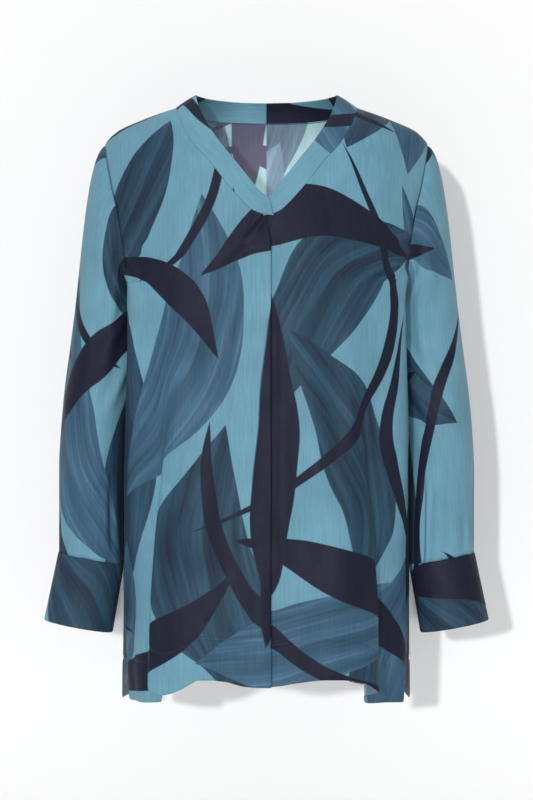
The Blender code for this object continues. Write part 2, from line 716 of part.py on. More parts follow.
def cloth(collection, name, grid, closed=False, outside=True):
    """An object from a grid of points, an open surface with a wall. closed joins last column to first."""
    rows, columns = grid.shape[:2]
    faces = []
    for row in range(rows - 1):
        for place in range(columns if closed else columns - 1):
            here = row * columns + place
            beside = row * columns + (place + 1) % columns
            face = (here, beside, beside + columns, here + columns)
            faces.append(face if outside else face[::-1])
    mesh = bpy.data.meshes.new(name)
    mesh.from_pydata(grid.reshape(-1, 3).tolist(), [], faces)
    mesh.materials.append(cloth_material(name))
    mesh.shade_smooth()
    piece = bpy.data.objects.new(name, mesh)
    wall = piece.modifiers.new("wall", "SOLIDIFY")
    wall.thickness = WALL
    wall.offset = 0.0
    collection.objects.link(piece)
    return piece


# Columns beside each fold, in half widths from its middle, and the other columns of each panel
FOLD_TURNS = np.array([-3, -2, -1.4, -1.05, -0.75, -0.4, 0, 0.4, 0.75, 1.05, 1.4, 2, 3])
FRONT_PLACES = (-1.0, -0.97, -0.94, -0.90, -0.86, -0.26, -0.14, 0.16, 0.25, 0.86, 0.90, 0.94, 0.97, 1.0)
BACK_PLACES = (0.0, 0.08, 0.16, 0.86, 0.90, 0.94, 0.97, 1.0)


def panel_columns(side, sign):
    """All the columns of a panel, sorted, close together at its folds."""
    places = list(FRONT_PLACES if side == FRONT else BACK_PLACES)
    for fold in panel_folds(side, sign):
        places += list(column_home(fold) + FOLD_TURNS * column_width(fold))
    return np.array(sorted(places))


def main():
    for thing in list(bpy.data.objects):
        bpy.data.objects.remove(thing, do_unlink=True)
    collection = bpy.data.collections.new("tunic blouse")
    bpy.context.scene.collection.children.link(collection)

    front = panel(FRONT, LEFT, panel_columns(FRONT, LEFT))
    leave_seams(front)
    cloth(collection, "front_panel", front)

    for name, sign in (("left", LEFT), ("right", RIGHT)):
        back = panel(BACK, sign, panel_columns(BACK, sign))
        leave_seams(back)
        cloth(collection, f"back_{name}", back, outside=sign == RIGHT)

    turns = np.arange(SLEEVE_TURNS) * 2 * math.pi / SLEEVE_TURNS
    for name, sign in (("left", LEFT), ("right", RIGHT)):
        mirror = np.array([sign, 1, 1])
        arm = sleeve(turns) * mirror
        cloth(collection, f"sleeve_{name}", arm, closed=True, outside=sign == LEFT)
        wrist = cuff(turns) * mirror
        cloth(collection, f"cuff_{name}", wrist, closed=True, outside=sign == LEFT)
        cloth(collection, f"neckband_{name}", band(sign), outside=sign == RIGHT)


main()
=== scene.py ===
# %% [markdown]
# # A printed viscose tunic blouse
#
# This notebook dresses the CAD model of a long-sleeved tunic blouse, filled out as if worn. The frame holds
# the solids. Everything here is in metres, +Z up, with the front towards -Y and the wearer's left at +X.

import math

import bpy
import numpy as np
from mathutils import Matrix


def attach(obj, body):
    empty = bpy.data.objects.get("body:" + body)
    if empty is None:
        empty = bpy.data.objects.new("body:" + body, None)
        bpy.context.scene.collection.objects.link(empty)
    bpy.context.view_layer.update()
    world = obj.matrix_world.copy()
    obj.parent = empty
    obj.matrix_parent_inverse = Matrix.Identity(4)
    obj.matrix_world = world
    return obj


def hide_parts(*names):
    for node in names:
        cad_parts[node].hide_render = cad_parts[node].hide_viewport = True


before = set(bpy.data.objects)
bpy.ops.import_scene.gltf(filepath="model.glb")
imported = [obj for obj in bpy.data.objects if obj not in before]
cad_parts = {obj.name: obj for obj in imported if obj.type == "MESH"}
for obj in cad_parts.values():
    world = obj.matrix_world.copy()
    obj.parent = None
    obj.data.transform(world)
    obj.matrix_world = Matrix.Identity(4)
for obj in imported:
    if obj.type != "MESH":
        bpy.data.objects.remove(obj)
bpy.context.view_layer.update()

# %% [markdown]
# ## The camera
#
# The photograph was taken from straight in front with a long lens. A lens of 108 mm, 3 m away, flattens the
# depth in the same way, so what lies 12 cm forward looks only 4% larger.

# %% Camera
EYE = (0.0, -3.0, -0.365)


def new_object(name, data):
    """A new object in the scene."""
    thing = bpy.data.objects.new(name, data)
    bpy.context.scene.collection.objects.link(thing)
    return thing


camera = new_object("camera", bpy.data.cameras.new("camera"))
camera.location = EYE
camera.rotation_euler = (math.pi / 2, 0.0, 0.0)
camera.data.lens = 108.0
camera.data.sensor_width = 36.0
bpy.context.scene.camera = camera

# %% [markdown]
# ## One torso surface, cut into panels
#
# A garment on a body is easiest to describe by rings: how wide and deep it is at each height. The front and
# the two backs are then cut from that one surface, so that their seams meet without any fitting. The tables
# hold the solids' own sizes, with a few edges moved by some millimetres where thin cloth hangs differently
# from a stiff wall.

# %% Sizes of the torso
LEFT, RIGHT = 1, -1
SIDES = (("left", LEFT), ("right", RIGHT))
FRONT, BACK = -1, 1
SHOULDER_TIP_HEIGHT = -0.0475
UNDERARM_HEIGHT = -0.222
ARMHOLE_FRONT_HEIGHT = -0.190
SLIT_TOP_HEIGHT = -0.610
SLIT_SETBACK = 0.004
SLIT_OPENING_RUN = 0.1
HEM_HALF_DEPTH = 0.128

TORSO_COLUMNS = ("height", "half_front", "half_back", "front", "back", "power", "hollow")
TORSO = (
    (-0.745, 0.1700, 0.1790, 0.128, 0.118, 2.3, 0.000),
    (-0.610, 0.1790, 0.1795, 0.127, 0.117, 2.3, 0.001),
    (-0.560, 0.1810, 0.1810, 0.126, 0.116, 2.3, 0.0030),
    (-0.530, 0.1832, 0.1828, 0.126, 0.115, 2.3, 0.0055),
    (-0.480, 0.1870, 0.1860, 0.125, 0.114, 2.3, 0.0095),
    (-0.450, 0.1892, 0.1875, 0.124, 0.113, 2.3, 0.0121),
    (-0.400, 0.1930, 0.1900, 0.123, 0.112, 2.3, 0.0198),
    (-0.350, 0.1962, 0.1926, 0.122, 0.111, 2.3, 0.0325),
    (-0.310, 0.1985, 0.1948, 0.121, 0.110, 2.3, 0.042),
    (-0.265, 0.1995, 0.1965, 0.120, 0.110, 2.3, 0.044),
    (-0.222, 0.2000, 0.1980, 0.118, 0.110, 2.3, 0.037),
    (-0.190, 0.1995, 0.1990, 0.116, 0.109, 2.3, 0.025),
    (-0.160, 0.2005, 0.2005, 0.113, 0.108, 2.25, 0.014),
    (-0.130, 0.2020, 0.2020, 0.109, 0.106, 2.15, 0.006),
    (-0.100, 0.2040, 0.2040, 0.104, 0.103, 2.1, 0.001),
    (-0.070, 0.2045, 0.2045, 0.092, 0.098, 2.1, 0.000),
    (-0.0475, 0.2015, 0.2015, 0.078, 0.092, 2.0, 0.000),
    (-0.032, 0.1890, 0.1890, 0.067, 0.086, 2.0, 0.000),
    (-0.015, 0.1530, 0.1530, 0.055, 0.077, 2.0, 0.000),
    (0.000, 0.1110, 0.1110, 0.044, 0.068, 2.0, 0.000),
)
# The hanging arm presses the torso's side in, most at this place front to back.
ARM_PLACE = 0.008
ARM_SPREAD = 0.062
# No ring is cut by the hem at this height or above it.
FULL_RING_HEIGHT = -0.70

# %% Sizes of the edges
UNDERARM_COLUMNS = ("share", "angle", "height")
UNDERARM = (
    (0.00, 90.0, -0.2220),
    (0.33, 81.5, -0.2190),
    (0.67, 72.0, -0.2090),
    (1.00, 62.5, -0.1900),
)
ARMHOLE_COLUMNS = ("share", "across", "height")
ARMHOLE = (
    (0.00, 0.1795, -0.1900),
    (0.20, 0.1835, -0.1650),
    (0.40, 0.1865, -0.1375),
    (0.62, 0.1915, -0.1050),
    (0.83, 0.1975, -0.0700),
    (1.00, 0.2015, -0.0475),
)
EDGE_COLUMNS = ("across", "height")
FRONT_NECKLINE = (
    (0.0000, -0.1425),
    (0.0120, -0.1385),
    (0.0370, -0.1145),
    (0.0680, -0.0745),
    (0.0900, -0.0485),
    (0.1050, -0.0200),
    (0.1110, 0.0000),
)
BACK_NECKLINE = (
    (0.0000, -0.0110),
    (0.0450, -0.0105),
    (0.0800, -0.0080),
    (0.1010, -0.0045),
    (0.1110, 0.0000),
)
NECK_SHARE = 0.50
FRONT_HEM = (
    (-0.1720, -0.7365),
    (-0.1600, -0.7348),
    (-0.1500, -0.7315),
    (-0.1455, -0.7172),
    (-0.1233, -0.7158),
    (-0.1090, -0.7215),
    (-0.0973, -0.7156),
    (-0.0860, -0.7040),
    (-0.0765, -0.7010),
    (-0.0500, -0.7022),
    (-0.0250, -0.7082),
    (0.0000, -0.7100),
    (0.0350, -0.7052),
    (0.0700, -0.7005),
    (0.0830, -0.7010),
    (0.0960, -0.7045),
    (0.1060, -0.7150),
    (0.1150, -0.7210),
    (0.1365, -0.7222),
    (0.1420, -0.7310),
    (0.1530, -0.7348),
    (0.1720, -0.7375),
)
BACK_HEM = (
    (-0.180, -0.7370),
    (-0.115, -0.7280),
    (-0.060, -0.7295),
    (0.000, -0.7275),
    (0.060, -0.7295),
    (0.115, -0.7280),
    (0.180, -0.7370),
)

# %% Reading the tables and lines of points
TINY = 1e-12
OFF_CENTRE = 1e-6


def column(rows, names, name):
    """One named column of a table, as an array."""
    return np.array([row[names.index(name)] for row in rows], dtype=float)


def curve_between(start, end, leave, arrive, w):
    """A curve from start to end as w goes from 0 to 1, leaving and arriving with the speeds given."""
    return (
        start * (1 + 2 * w) * (1 - w) ** 2
        + end * w * w * (3 - 2 * w)
        + leave * w * (1 - w) ** 2
        - arrive * w * w * (1 - w)
    )


def smooth(at, xs, ys):
    """A curve through the points (xs, ys) that doesn't swing past them. xs rises."""
    steps = np.diff(xs)
    rises = np.diff(ys) / steps
    slopes = np.empty(len(xs))
    slopes[0], slopes[-1] = rises[0], rises[-1]
    product = rises[:-1] * rises[1:]
    total = rises[:-1] + rises[1:]
    slopes[1:-1] = np.where(product > 0, 2 * product / np.where(total == 0, 1, total), 0)
    at = np.clip(at, xs[0], xs[-1])
    cell = np.clip(np.searchsorted(xs, at) - 1, 0, len(steps) - 1)
    h = steps[cell]
    w = (at - xs[cell]) / h
    return curve_between(ys[cell], ys[cell + 1], slopes[cell] * h, slopes[cell + 1] * h, w)


def ease(w):
    """Rises smoothly from 0 to 1 as w does."""
    w = np.clip(w, 0, 1)
    return w * w * (3 - 2 * w)


def from_table(at, rows, names, name):
    """A named column of a table, read smoothly along its first column."""
    return smooth(at, column(rows, names, names[0]), column(rows, names, name))


def unit(vector):
    """Vectors of length 1 in the same directions."""
    return vector / np.maximum(np.linalg.norm(vector, axis=-1, keepdims=True), TINY)


def lengths_along(points):
    """The length of a line of points up to each of them."""
    return np.concatenate([[0], np.cumsum(np.linalg.norm(np.diff(points, axis=0), axis=1))])


def read_points(where, lengths, points):
    """Places on a line of points, at some lengths along it."""
    return np.stack([np.interp(where, lengths, points[:, k]) for k in range(3)], axis=-1)


# %% Places on the torso


def half_width(side, z):
    """The torso's half width at height z, before the arm presses it in."""
    return from_table(z, TORSO, TORSO_COLUMNS, "half_front" if side == FRONT else "half_back")


def torso_point(side, angle, z):
    """Places on the torso at angles from the centre line, 90 degrees at the side seam, and heights."""
    power = from_table(z, TORSO, TORSO_COLUMNS, "power")
    depth = from_table(z, TORSO, TORSO_COLUMNS, "front" if side == FRONT else "back")
    across = half_width(side, z) * np.abs(np.sin(angle)) ** (2 / power)
    y = side * depth * np.clip(np.cos(angle), 0, 1) ** (2 / power)
    hollow = from_table(z, TORSO, TORSO_COLUMNS, "hollow")
    across = across - hollow * np.exp(-(((y - ARM_PLACE) / ARM_SPREAD) ** 4))
    across = np.maximum(across, 0) * np.sign(np.sin(angle))
    return np.stack([across, y, z + 0 * across], axis=-1)


def angle_across(side, across, z):
    """The angle whose place on the ring at height z is that far from the centre line."""
    share = np.clip(np.abs(across) / half_width(side, z), 0, 1)
    return np.arcsin(share ** (from_table(z, TORSO, TORSO_COLUMNS, "power") / 2)) * np.sign(across)


# %% [markdown]
# ## Measuring cloth round a ring
#
# Folds and the print are placed in lengths of cloth, not in angles. Measuring each ring once and reading the
# measurements back from a table is much quicker than measuring again for every point.

# %% Ring lengths
LEVELS = np.linspace(-0.760, 0.0, 381)
QUARTER = np.linspace(0, math.pi / 2, 241)
# Taken off a table's length, this keeps every place inside its last cell.
LAST_CELL = 1.001


def measure_rings(side):
    """Two tables by height: the length of cloth to each angle, and the angle at each share of the ring."""
    z, angle = np.meshgrid(LEVELS, QUARTER, indexing="ij")
    steps = np.linalg.norm(np.diff(torso_point(side, angle, z), axis=1), axis=2)
    lengths = np.concatenate([np.zeros((len(LEVELS), 1)), np.cumsum(steps, axis=1)], axis=1)
    shares = np.linspace(0, 1, len(QUARTER))
    angles = np.array([np.interp(shares * row[-1], row, QUARTER) for row in lengths])
    return {"length": lengths, "angle": angles}


RINGS = {side: measure_rings(side) for side in (FRONT, BACK)}


def look_up(table, z, share):
    """Reads a table of rings between its entries."""
    z, share = np.broadcast_arrays(np.asarray(z, float), np.asarray(share, float))
    row = np.clip((z - LEVELS[0]) / (LEVELS[1] - LEVELS[0]), 0, len(LEVELS) - LAST_CELL)
    place = np.clip(share, 0, 1) * (table.shape[1] - LAST_CELL)
    i, j = row.astype(int), place.astype(int)
    a, b = row - i, place - j
    low = table[i, j] * (1 - b) + table[i, j + 1] * b
    high = table[i + 1, j] * (1 - b) + table[i + 1, j + 1] * b
    return low * (1 - a) + high * a


def length_to(side, angle, z):
    """The length of cloth from the centre line to an angle on the ring at height z."""
    return look_up(RINGS[side]["length"], z, angle / (math.pi / 2))


def angle_at(side, length, z):
    """The angle at a length of cloth from the centre line on the ring at height z."""
    return look_up(RINGS[side]["angle"], z, length / length_to(side, math.pi / 2, z))


print("cloth round half the hem", round(float(length_to(FRONT, math.pi / 2, FULL_RING_HEIGHT)), 3), "m")

# %% [markdown]
# ## Folds
#
# The centre-front pleat and the deep folds beside it are the same thing at different sizes: the cloth goes
# forwards, back under itself, and forwards again. A smooth S-shaped shift of the surface makes that. The
# folds are shallow at their upper end and full lower down.

# %% Fold table
FOLD_COLUMNS = (
    "panel", "top_place", "hem_place", "width", "reach", "lift", "edge", "start", "full",
)
FOLDS = (
    ("front", 0.0045, -0.0010, 0.0055, 0.0110, 0.0064, 0.20, -0.1435, -0.185),
    ("front", 0.1150, 0.1263, 0.0200, 0.0255, 0.0200, 0.35, -0.300, -0.620),
    ("front", -0.1173, -0.1353, 0.0200, 0.0230, 0.0200, 0.35, -0.260, -0.620),
    ("back", 0.0980, 0.1120, 0.0200, 0.0200, 0.0180, 0.40, -0.260, -0.745),
    ("back", -0.1040, -0.1080, 0.0200, 0.0180, 0.0180, 0.40, -0.300, -0.745),
)
FOLD_WINDOW = 3.0
# How far from the fold's middle its two bends are, in half widths
BEND_PLACE = 0.75
# How soon a fold gets deep below its upper end: under 1 is sooner
DEEPENING = 0.8
# A fold whose place is nearer the centre line than this is the centre-front pleat.
CENTRE_FOLD = 0.01
ANGLE_STEP = 1e-3
# Roughly the cloth from the centre line to the side seam, and how much longer it is than the way across
HALF_RING = 0.245
RING_OVER_ACROSS = 1.15

# %% Folding the cloth


def fold_shift(q, reach, lift, edge):
    """How far a fold moves the cloth along the panel and outwards, q half widths from its middle."""
    along = -reach * q * np.exp((1 - q * q) / 2)
    step = np.tanh((q - BEND_PLACE) / edge) + np.tanh((q + BEND_PLACE) / edge)
    return along, -lift / 4 * step * np.exp(-((q / FOLD_WINDOW) ** 6))


def panel_folds(side, sign):
    """The folds of the front, or of one back, which is always worked out as the left one."""
    name = "front" if side == FRONT else "back"
    folds = [dict(zip(FOLD_COLUMNS, fold)) for fold in FOLDS if fold[0] == name]
    if side == FRONT:
        return folds
    own = [fold for fold in folds if fold["hem_place"] * sign > 0]
    for fold in own:
        fold["top_place"], fold["hem_place"] = abs(fold["top_place"]), abs(fold["hem_place"])
    return own


def fold_place(fold, z):
    """How far across the fold's middle is at height z."""
    w = np.clip((fold["start"] - z) / (fold["start"] - fold["full"]), 0, 1)
    return fold["top_place"] + (fold["hem_place"] - fold["top_place"]) * w


def fold_middle(side, fold, z):
    """The length of cloth from the centre line to the fold's middle."""
    place = fold_place(fold, z)
    return length_to(side, angle_across(side, np.abs(place), z), z) * np.sign(place)


def column_home(fold):
    """The column, as a share of the half ring, that stays on the fold's middle."""
    return fold["hem_place"] * RING_OVER_ACROSS / HALF_RING


def share_at(side, sign, u, z, last_angle):
    """The share of the ring that column u takes, so that each fold keeps its own columns."""
    total = length_to(side, last_angle, z)
    start = -1.0 if side == FRONT else 0.0
    knots = [(start, start + 0 * z), (1.0, 1.0 + 0 * z)]
    for fold in panel_folds(side, sign):
        middle = fold_middle(side, fold, z)
        for q in (-FOLD_WINDOW, FOLD_WINDOW):
            home = column_home(fold) + q * fold["width"] / HALF_RING
            knots.append((home, (middle + q * fold["width"]) / total))
    knots.sort(key=lambda knot: knot[0])
    share = np.zeros(np.broadcast(u, z).shape)
    for (u0, share0), (u1, share1) in zip(knots, knots[1:]):
        here = (u >= u0) & (u <= u1)
        share = np.where(here, share0 + (share1 - share0) * (u - u0) / (u1 - u0), share)
    return share


def bend(side, sign, here, z):
    """Places on the torso, here metres of cloth from the centre line, moved by the folds near them."""
    angle = angle_at(side, np.abs(here), z)
    outward = np.where(here < 0, -1.0, 1.0)
    point = torso_point(side, angle * outward, z)
    tangent = unit(torso_point(side, angle + ANGLE_STEP, z) - torso_point(side, angle - ANGLE_STEP, z))
    tangent[..., 0] *= outward
    flat = (side * outward)[..., None]
    normal = flat * np.stack([-tangent[..., 1], tangent[..., 0], 0 * z], axis=-1)
    shift = np.zeros(point.shape)
    for fold in panel_folds(side, sign):
        depth = ease((fold["start"] - z) / (fold["start"] - fold["full"])) ** DEEPENING
        facing = 1 if abs(fold["hem_place"]) < CENTRE_FOLD else math.copysign(1, fold["hem_place"])
        q = (here - fold_middle(side, fold, z)) * facing / fold["width"]
        along, out = fold_shift(q, fold["reach"] * depth, fold["lift"] * depth, fold["edge"])
        shift += (along * outward * facing)[..., None] * tangent + out[..., None] * normal
    return point + shift, point


# %% [markdown]
# ## Cutting the panels
#
# Each panel is a grid of points. Its rows run from the hem to the underarm along level rings, then round the
# underarm, and last they fan out to the neckline, shoulder and armhole. The flat place of every point, in
# metres of cloth, is kept beside it, because the print is laid out on flat cloth.

# %% Edges of a panel
TRACE_STEPS = 200


def along_line(line, share):
    """(across, height) at a share of the line's length, from its first point."""
    steps = np.linspace(0, 1, TRACE_STEPS)
    knots = np.linspace(0, 1, len(line))
    across = smooth(steps, knots, column(line, EDGE_COLUMNS, "across"))
    height = smooth(steps, knots, column(line, EDGE_COLUMNS, "height"))
    length = np.concatenate([[0], np.cumsum(np.hypot(np.diff(across), np.diff(height)))])
    where = np.interp(share, length / length[-1], steps)
    return np.interp(where, steps, across), np.interp(where, steps, height)


def neckline(side):
    return FRONT_NECKLINE if side == FRONT else BACK_NECKLINE


def top_line(side, share):
    """(across, height) along a panel's top: neckline, then shoulder seam out to the tip."""
    neck, tip = half_width(FRONT, 0.0), half_width(FRONT, SHOULDER_TIP_HEIGHT)
    across = neck + (tip - neck) * (share - NECK_SHARE) / (1 - NECK_SHARE)
    z = np.linspace(SHOULDER_TIP_HEIGHT, 0.0, TRACE_STEPS)
    height = np.interp(across, half_width(FRONT, z)[::-1], z[::-1])
    neck_across, neck_height = along_line(neckline(side), share / NECK_SHARE)
    on_neck = share <= NECK_SHARE
    return np.where(on_neck, neck_across, across), np.where(on_neck, neck_height, height)


def armhole_place(share):
    """(across, height) on the upper armhole, from the end of the underarm to the shoulder tip."""
    across = from_table(share, ARMHOLE, ARMHOLE_COLUMNS, "across")
    return across, from_table(share, ARMHOLE, ARMHOLE_COLUMNS, "height")


def underarm_place(share):
    """(angle, height) round the underarm, from the side seam to the upper armhole."""
    angle = np.radians(from_table(share, UNDERARM, UNDERARM_COLUMNS, "angle"))
    return angle, from_table(share, UNDERARM, UNDERARM_COLUMNS, "height")


def side_angle(side, z):
    """The angle of a panel's side edge: the seam, then the slit's edge, which hangs back from it."""
    if side == BACK:
        return math.pi / 2 + 0 * z
    open_share = ease((SLIT_TOP_HEIGHT - z) / SLIT_OPENING_RUN)
    return math.pi / 2 - open_share * SLIT_SETBACK / HEM_HALF_DEPTH


def hem_under(side, sign, u):
    """The hem's height under column u, read where the smooth ring stands above the hem."""
    z = np.full(u.shape, FULL_RING_HEIGHT)
    share = share_at(side, sign, u, z, math.pi / 2)
    length = np.abs(share) * length_to(side, math.pi / 2, z)
    across = torso_point(side, angle_at(side, length, z), z)[..., 0] * np.where(share < 0, -1, 1)
    rows = FRONT_HEM if side == FRONT else BACK_HEM
    return from_table(across * (sign if side == BACK else 1), rows, EDGE_COLUMNS, "height")


# %% Panel grid
HEM_LEVEL = -0.735
HEM_STITCH = 0.050
STITCH_ROWS = HEM_STITCH / (UNDERARM_HEIGHT - HEM_LEVEL) * np.linspace(0.90, 1.10, 9)
LOW_ROWS = np.unique(np.concatenate([np.linspace(0, 1, 112), [0.003, 0.006], STITCH_ROWS]))
UNDERARM_ROWS = np.linspace(0, 1, 11)[1:]
HIGH_ROWS = np.append(np.linspace(0, 1, 52)[1:-1], [0.988, 0.996, 1.0])


def panel(side, sign, u):
    """A torso panel: its points, rows from the hem up, their flat places, and the points unfolded."""
    chest_share = share_at(side, sign, u, np.full(u.shape, UNDERARM_HEIGHT), math.pi / 2)
    low = LOW_ROWS[:, None]
    z = HEM_LEVEL + (UNDERARM_HEIGHT - HEM_LEVEL) * low
    z = z + (hem_under(side, sign, u) - HEM_LEVEL) * (1 - low) ** 2
    last = side_angle(side, z)
    here = share_at(side, sign, u + 0 * z, z, last) * length_to(side, last, z)

    low = UNDERARM_ROWS[:, None]
    edge_angle, edge_height = underarm_place(low)
    flat_height = UNDERARM_HEIGHT + (ARMHOLE_FRONT_HEIGHT - UNDERARM_HEIGHT) * low
    under_z = flat_height + (edge_height - flat_height) * np.abs(chest_share) ** 3
    under_here = chest_share * length_to(side, edge_angle, under_z)

    high = HIGH_ROWS[:, None]
    size = np.abs(chest_share)[None, :]
    base = ARMHOLE_FRONT_HEIGHT
    last = float(underarm_place(1.0)[0])
    width, power = half_width(side, base), from_table(base, TORSO, TORSO_COLUMNS, "power")
    chest_angle = angle_at(side, size * length_to(side, last, base), base)
    chest = (width * np.sin(chest_angle) ** (2 / power), base)
    chest_end = (width * math.sin(last) ** (2 / power), base)
    top, top_end, edge = top_line(side, size), top_line(side, np.ones(1)), armhole_place(high)
    place = []
    for k in range(2):
        blend = (1 - high) * chest[k] + high * top[k]
        place.append(blend + size * (edge[k] - (1 - high) * chest_end[k] - high * top_end[k]))
    across, high_z = np.maximum(place[0], OFF_CENTRE), place[1]
    high_here = length_to(side, angle_across(side, across, high_z), high_z)
    high_here = high_here * np.where(chest_share < 0, -1, 1)

    z = np.concatenate([z, under_z, high_z])
    here = np.concatenate([here, under_here, high_here])
    grid, unfolded = bend(side, sign, here, z)
    rises = np.linalg.norm(np.diff(unfolded, axis=0), axis=2)
    up = z[:1] + np.concatenate([np.zeros((1, len(u))), np.cumsum(rises, axis=0)])
    flat = np.stack([here, up], axis=-1)
    if side == BACK:
        for places in (grid, flat, unfolded):
            places[..., 0] *= sign
    return grid, flat, unfolded


# %% Columns of a panel
FOLD_TURNS = np.concatenate([[-3, -2.4, -2, -1.7], np.linspace(-1.45, 1.45, 31), [1.7, 2, 2.4, 3]])
PLAIN_STEP = 0.021
EDGE_STEP = 0.006
FOLD_MARGIN = 0.1


def panel_columns(side, sign):
    """The columns of a panel, close together at its folds."""
    start = -1.0 if side == FRONT else 0.0
    places = list(np.arange(start, 1.0, PLAIN_STEP)) + [start + EDGE_STEP, 1 - EDGE_STEP, 1.0]
    for fold in panel_folds(side, sign):
        home, width = column_home(fold), fold["width"] / HALF_RING
        places = [u for u in places if abs(u - home) > (FOLD_WINDOW + FOLD_MARGIN) * width]
        places += list(home + FOLD_TURNS * width)
    return np.array(sorted(places))


front_grid, front_flat, front_unfolded = panel(FRONT, LEFT, panel_columns(FRONT, LEFT))
print("front panel", front_grid.shape[:2], "points")

# %% [markdown]
# ## Creases
#
# Viscose hangs in long soft creases. Each one here is a line on the garment, with a width and a depth. It
# lifts the cloth along the line and sinks it beside the line. Their lengths, depths and spacing are uneven,
# as cloth's are. Lines are given as (x, z), seen from the front or from the back.

# %% Crease table
CREASE_COLUMNS = ("piece", "path", "width", "depth")
CREASES = (
    # the two drag tucks that leave the top of the pleat
    ("front", ((0.001, -0.1435), (-0.0105, -0.1565), (-0.029, -0.1760)), 0.0038, 0.0030),
    ("front", ((-0.003, -0.1570), (-0.0204, -0.1787), (-0.066, -0.2260)), 0.0060, 0.0020),
    # long drapes from the chest to the hem
    ("front", ((0.150, -0.225), (0.158, -0.330), (0.156, -0.480)), 0.0100, 0.0034),
    ("front", ((0.095, -0.170), (0.104, -0.330), (0.100, -0.520)), 0.0130, 0.0020),
    ("front", ((0.052, -0.250), (0.060, -0.430), (0.062, -0.640)), 0.0140, 0.0024),
    ("front", ((-0.060, -0.260), (-0.070, -0.420), (-0.068, -0.630)), 0.0140, 0.0022),
    ("front", ((-0.104, -0.190), (-0.110, -0.360), (-0.104, -0.560)), 0.0120, 0.0022),
    ("front", ((-0.156, -0.235), (-0.162, -0.340), (-0.160, -0.470)), 0.0100, 0.0032),
    # the trough beside the wearer's left side fold
    ("front", ((0.096, -0.540), (0.099, -0.640), (0.100, -0.800)), 0.0080, -0.0042),
    # short pulls towards the underarms
    ("front", ((-0.174, -0.182), (-0.156, -0.200), (-0.144, -0.228)), 0.0050, 0.0048),
    ("front", ((-0.176, -0.206), (-0.164, -0.220), (-0.156, -0.252)), 0.0042, 0.0036),
    ("front", ((-0.172, -0.168), (-0.150, -0.178), (-0.132, -0.196)), 0.0060, 0.0026),
    ("front", ((0.176, -0.176), (0.160, -0.198), (0.148, -0.234)), 0.0052, 0.0044),
    ("front", ((0.177, -0.202), (0.167, -0.220), (0.160, -0.256)), 0.0044, 0.0032),
    ("front", ((0.174, -0.160), (0.156, -0.170), (0.138, -0.184)), 0.0060, 0.0024),
    # slack from the shoulders to the chest
    ("front", ((-0.150, -0.050), (-0.140, -0.100), (-0.146, -0.160)), 0.0110, 0.0016),
    ("front", ((0.140, -0.045), (0.136, -0.100), (0.142, -0.165)), 0.0110, 0.0016),
    ("back", ((0.060, -0.180), (0.066, -0.400), (0.060, -0.640)), 0.0150, 0.0030),
    ("back", ((-0.052, -0.210), (-0.060, -0.430), (-0.066, -0.660)), 0.0140, 0.0028),
    ("back", ((0.150, -0.190), (0.152, -0.320), (0.148, -0.470)), 0.0110, 0.0034),
    ("back", ((-0.146, -0.190), (-0.154, -0.330), (-0.152, -0.450)), 0.0110, 0.0032),
    ("back", ((0.172, -0.170), (0.150, -0.190), (0.128, -0.222)), 0.0070, 0.0030),
    ("back", ((-0.170, -0.176), (-0.152, -0.194), (-0.132, -0.218)), 0.0065, 0.0026),
)

# %% Creasing a grid
FAR_AWAY = 9.0
# The troughs beside a crease: how deep, as a share of its height, and where, in widths from its line
TROUGHS = ((0.45, 1.8), (0.25, -1.9))
CREASE_END_POWER = 0.7


def normals_of(grid, closed, outside):
    """Outward directions of a grid of points. closed joins its last column to its first."""
    if closed:
        wide = np.concatenate([grid[:, -1:], grid, grid[:, :1]], axis=1)
        beside = np.gradient(wide, axis=1)[:, 1:-1]
    else:
        beside = np.gradient(grid, axis=1)
    normal = unit(np.cross(beside, np.gradient(grid, axis=0)))
    return normal if outside else -normal


def crease_lift(grid, path, width):
    """How much a crease lifts each point: up on its line, down beside it, and nothing past its ends."""
    knots = np.array(path)
    spans = np.linalg.norm(np.diff(knots, axis=0), axis=1)
    starts = lengths_along(knots)
    place = grid[..., (0, 2)]
    nearest = np.full(place.shape[:-1], FAR_AWAY)
    aside, along = nearest.copy(), nearest.copy()
    for number, span in enumerate(spans):
        step = (knots[number + 1] - knots[number]) / span
        offset = place - knots[number]
        reach = np.clip(offset @ step, 0, span)
        off = offset - reach[..., None] * step
        distance = np.linalg.norm(off, axis=-1)
        closer = distance < nearest
        nearest = np.where(closer, distance, nearest)
        side = np.sign(off[..., 0] * step[1] - off[..., 1] * step[0])
        aside = np.where(closer, distance * side, aside)
        along = np.where(closer, (starts[number] + reach) / starts[-1], along)
    q = aside / width
    profile = np.exp(-q * q)
    for depth, aside_place in TROUGHS:
        profile = profile - depth * np.exp(-((q - aside_place) ** 2))
    return profile * np.clip(np.sin(math.pi * np.clip(along, 0, 1)), 0, 1) ** CREASE_END_POWER


def crease(grid, piece, outward):
    """Moves a panel's points out and in along the creases of that piece."""
    lift = np.zeros(grid.shape[:-1])
    for values in CREASES:
        row = dict(zip(CREASE_COLUMNS, values))
        if row["piece"] == piece:
            lift += row["depth"] * crease_lift(grid, row["path"], row["width"])
    return grid + outward * lift[..., None]


# %% Slack
SLACK_COLUMNS = ("wavelength", "size", "slant", "start")
SLACK = (
    (0.113, 0.0036, 0.08, 0.7),
    (0.071, 0.0022, -0.12, 2.1),
    (0.043, 0.0011, 0.16, 4.4),
)
SLACK_HALF_WIDTH, SLACK_HALF_DEPTH = 0.19, 0.12
# The waves start a little below the shoulders, at a small share of their size, and grow from the chest down.
SLACK_TOP, SLACK_ONSET = -0.06, 0.08
SLACK_CHEST, SLACK_GROWTH = -0.16, 0.55
SLACK_LEAST = 0.15
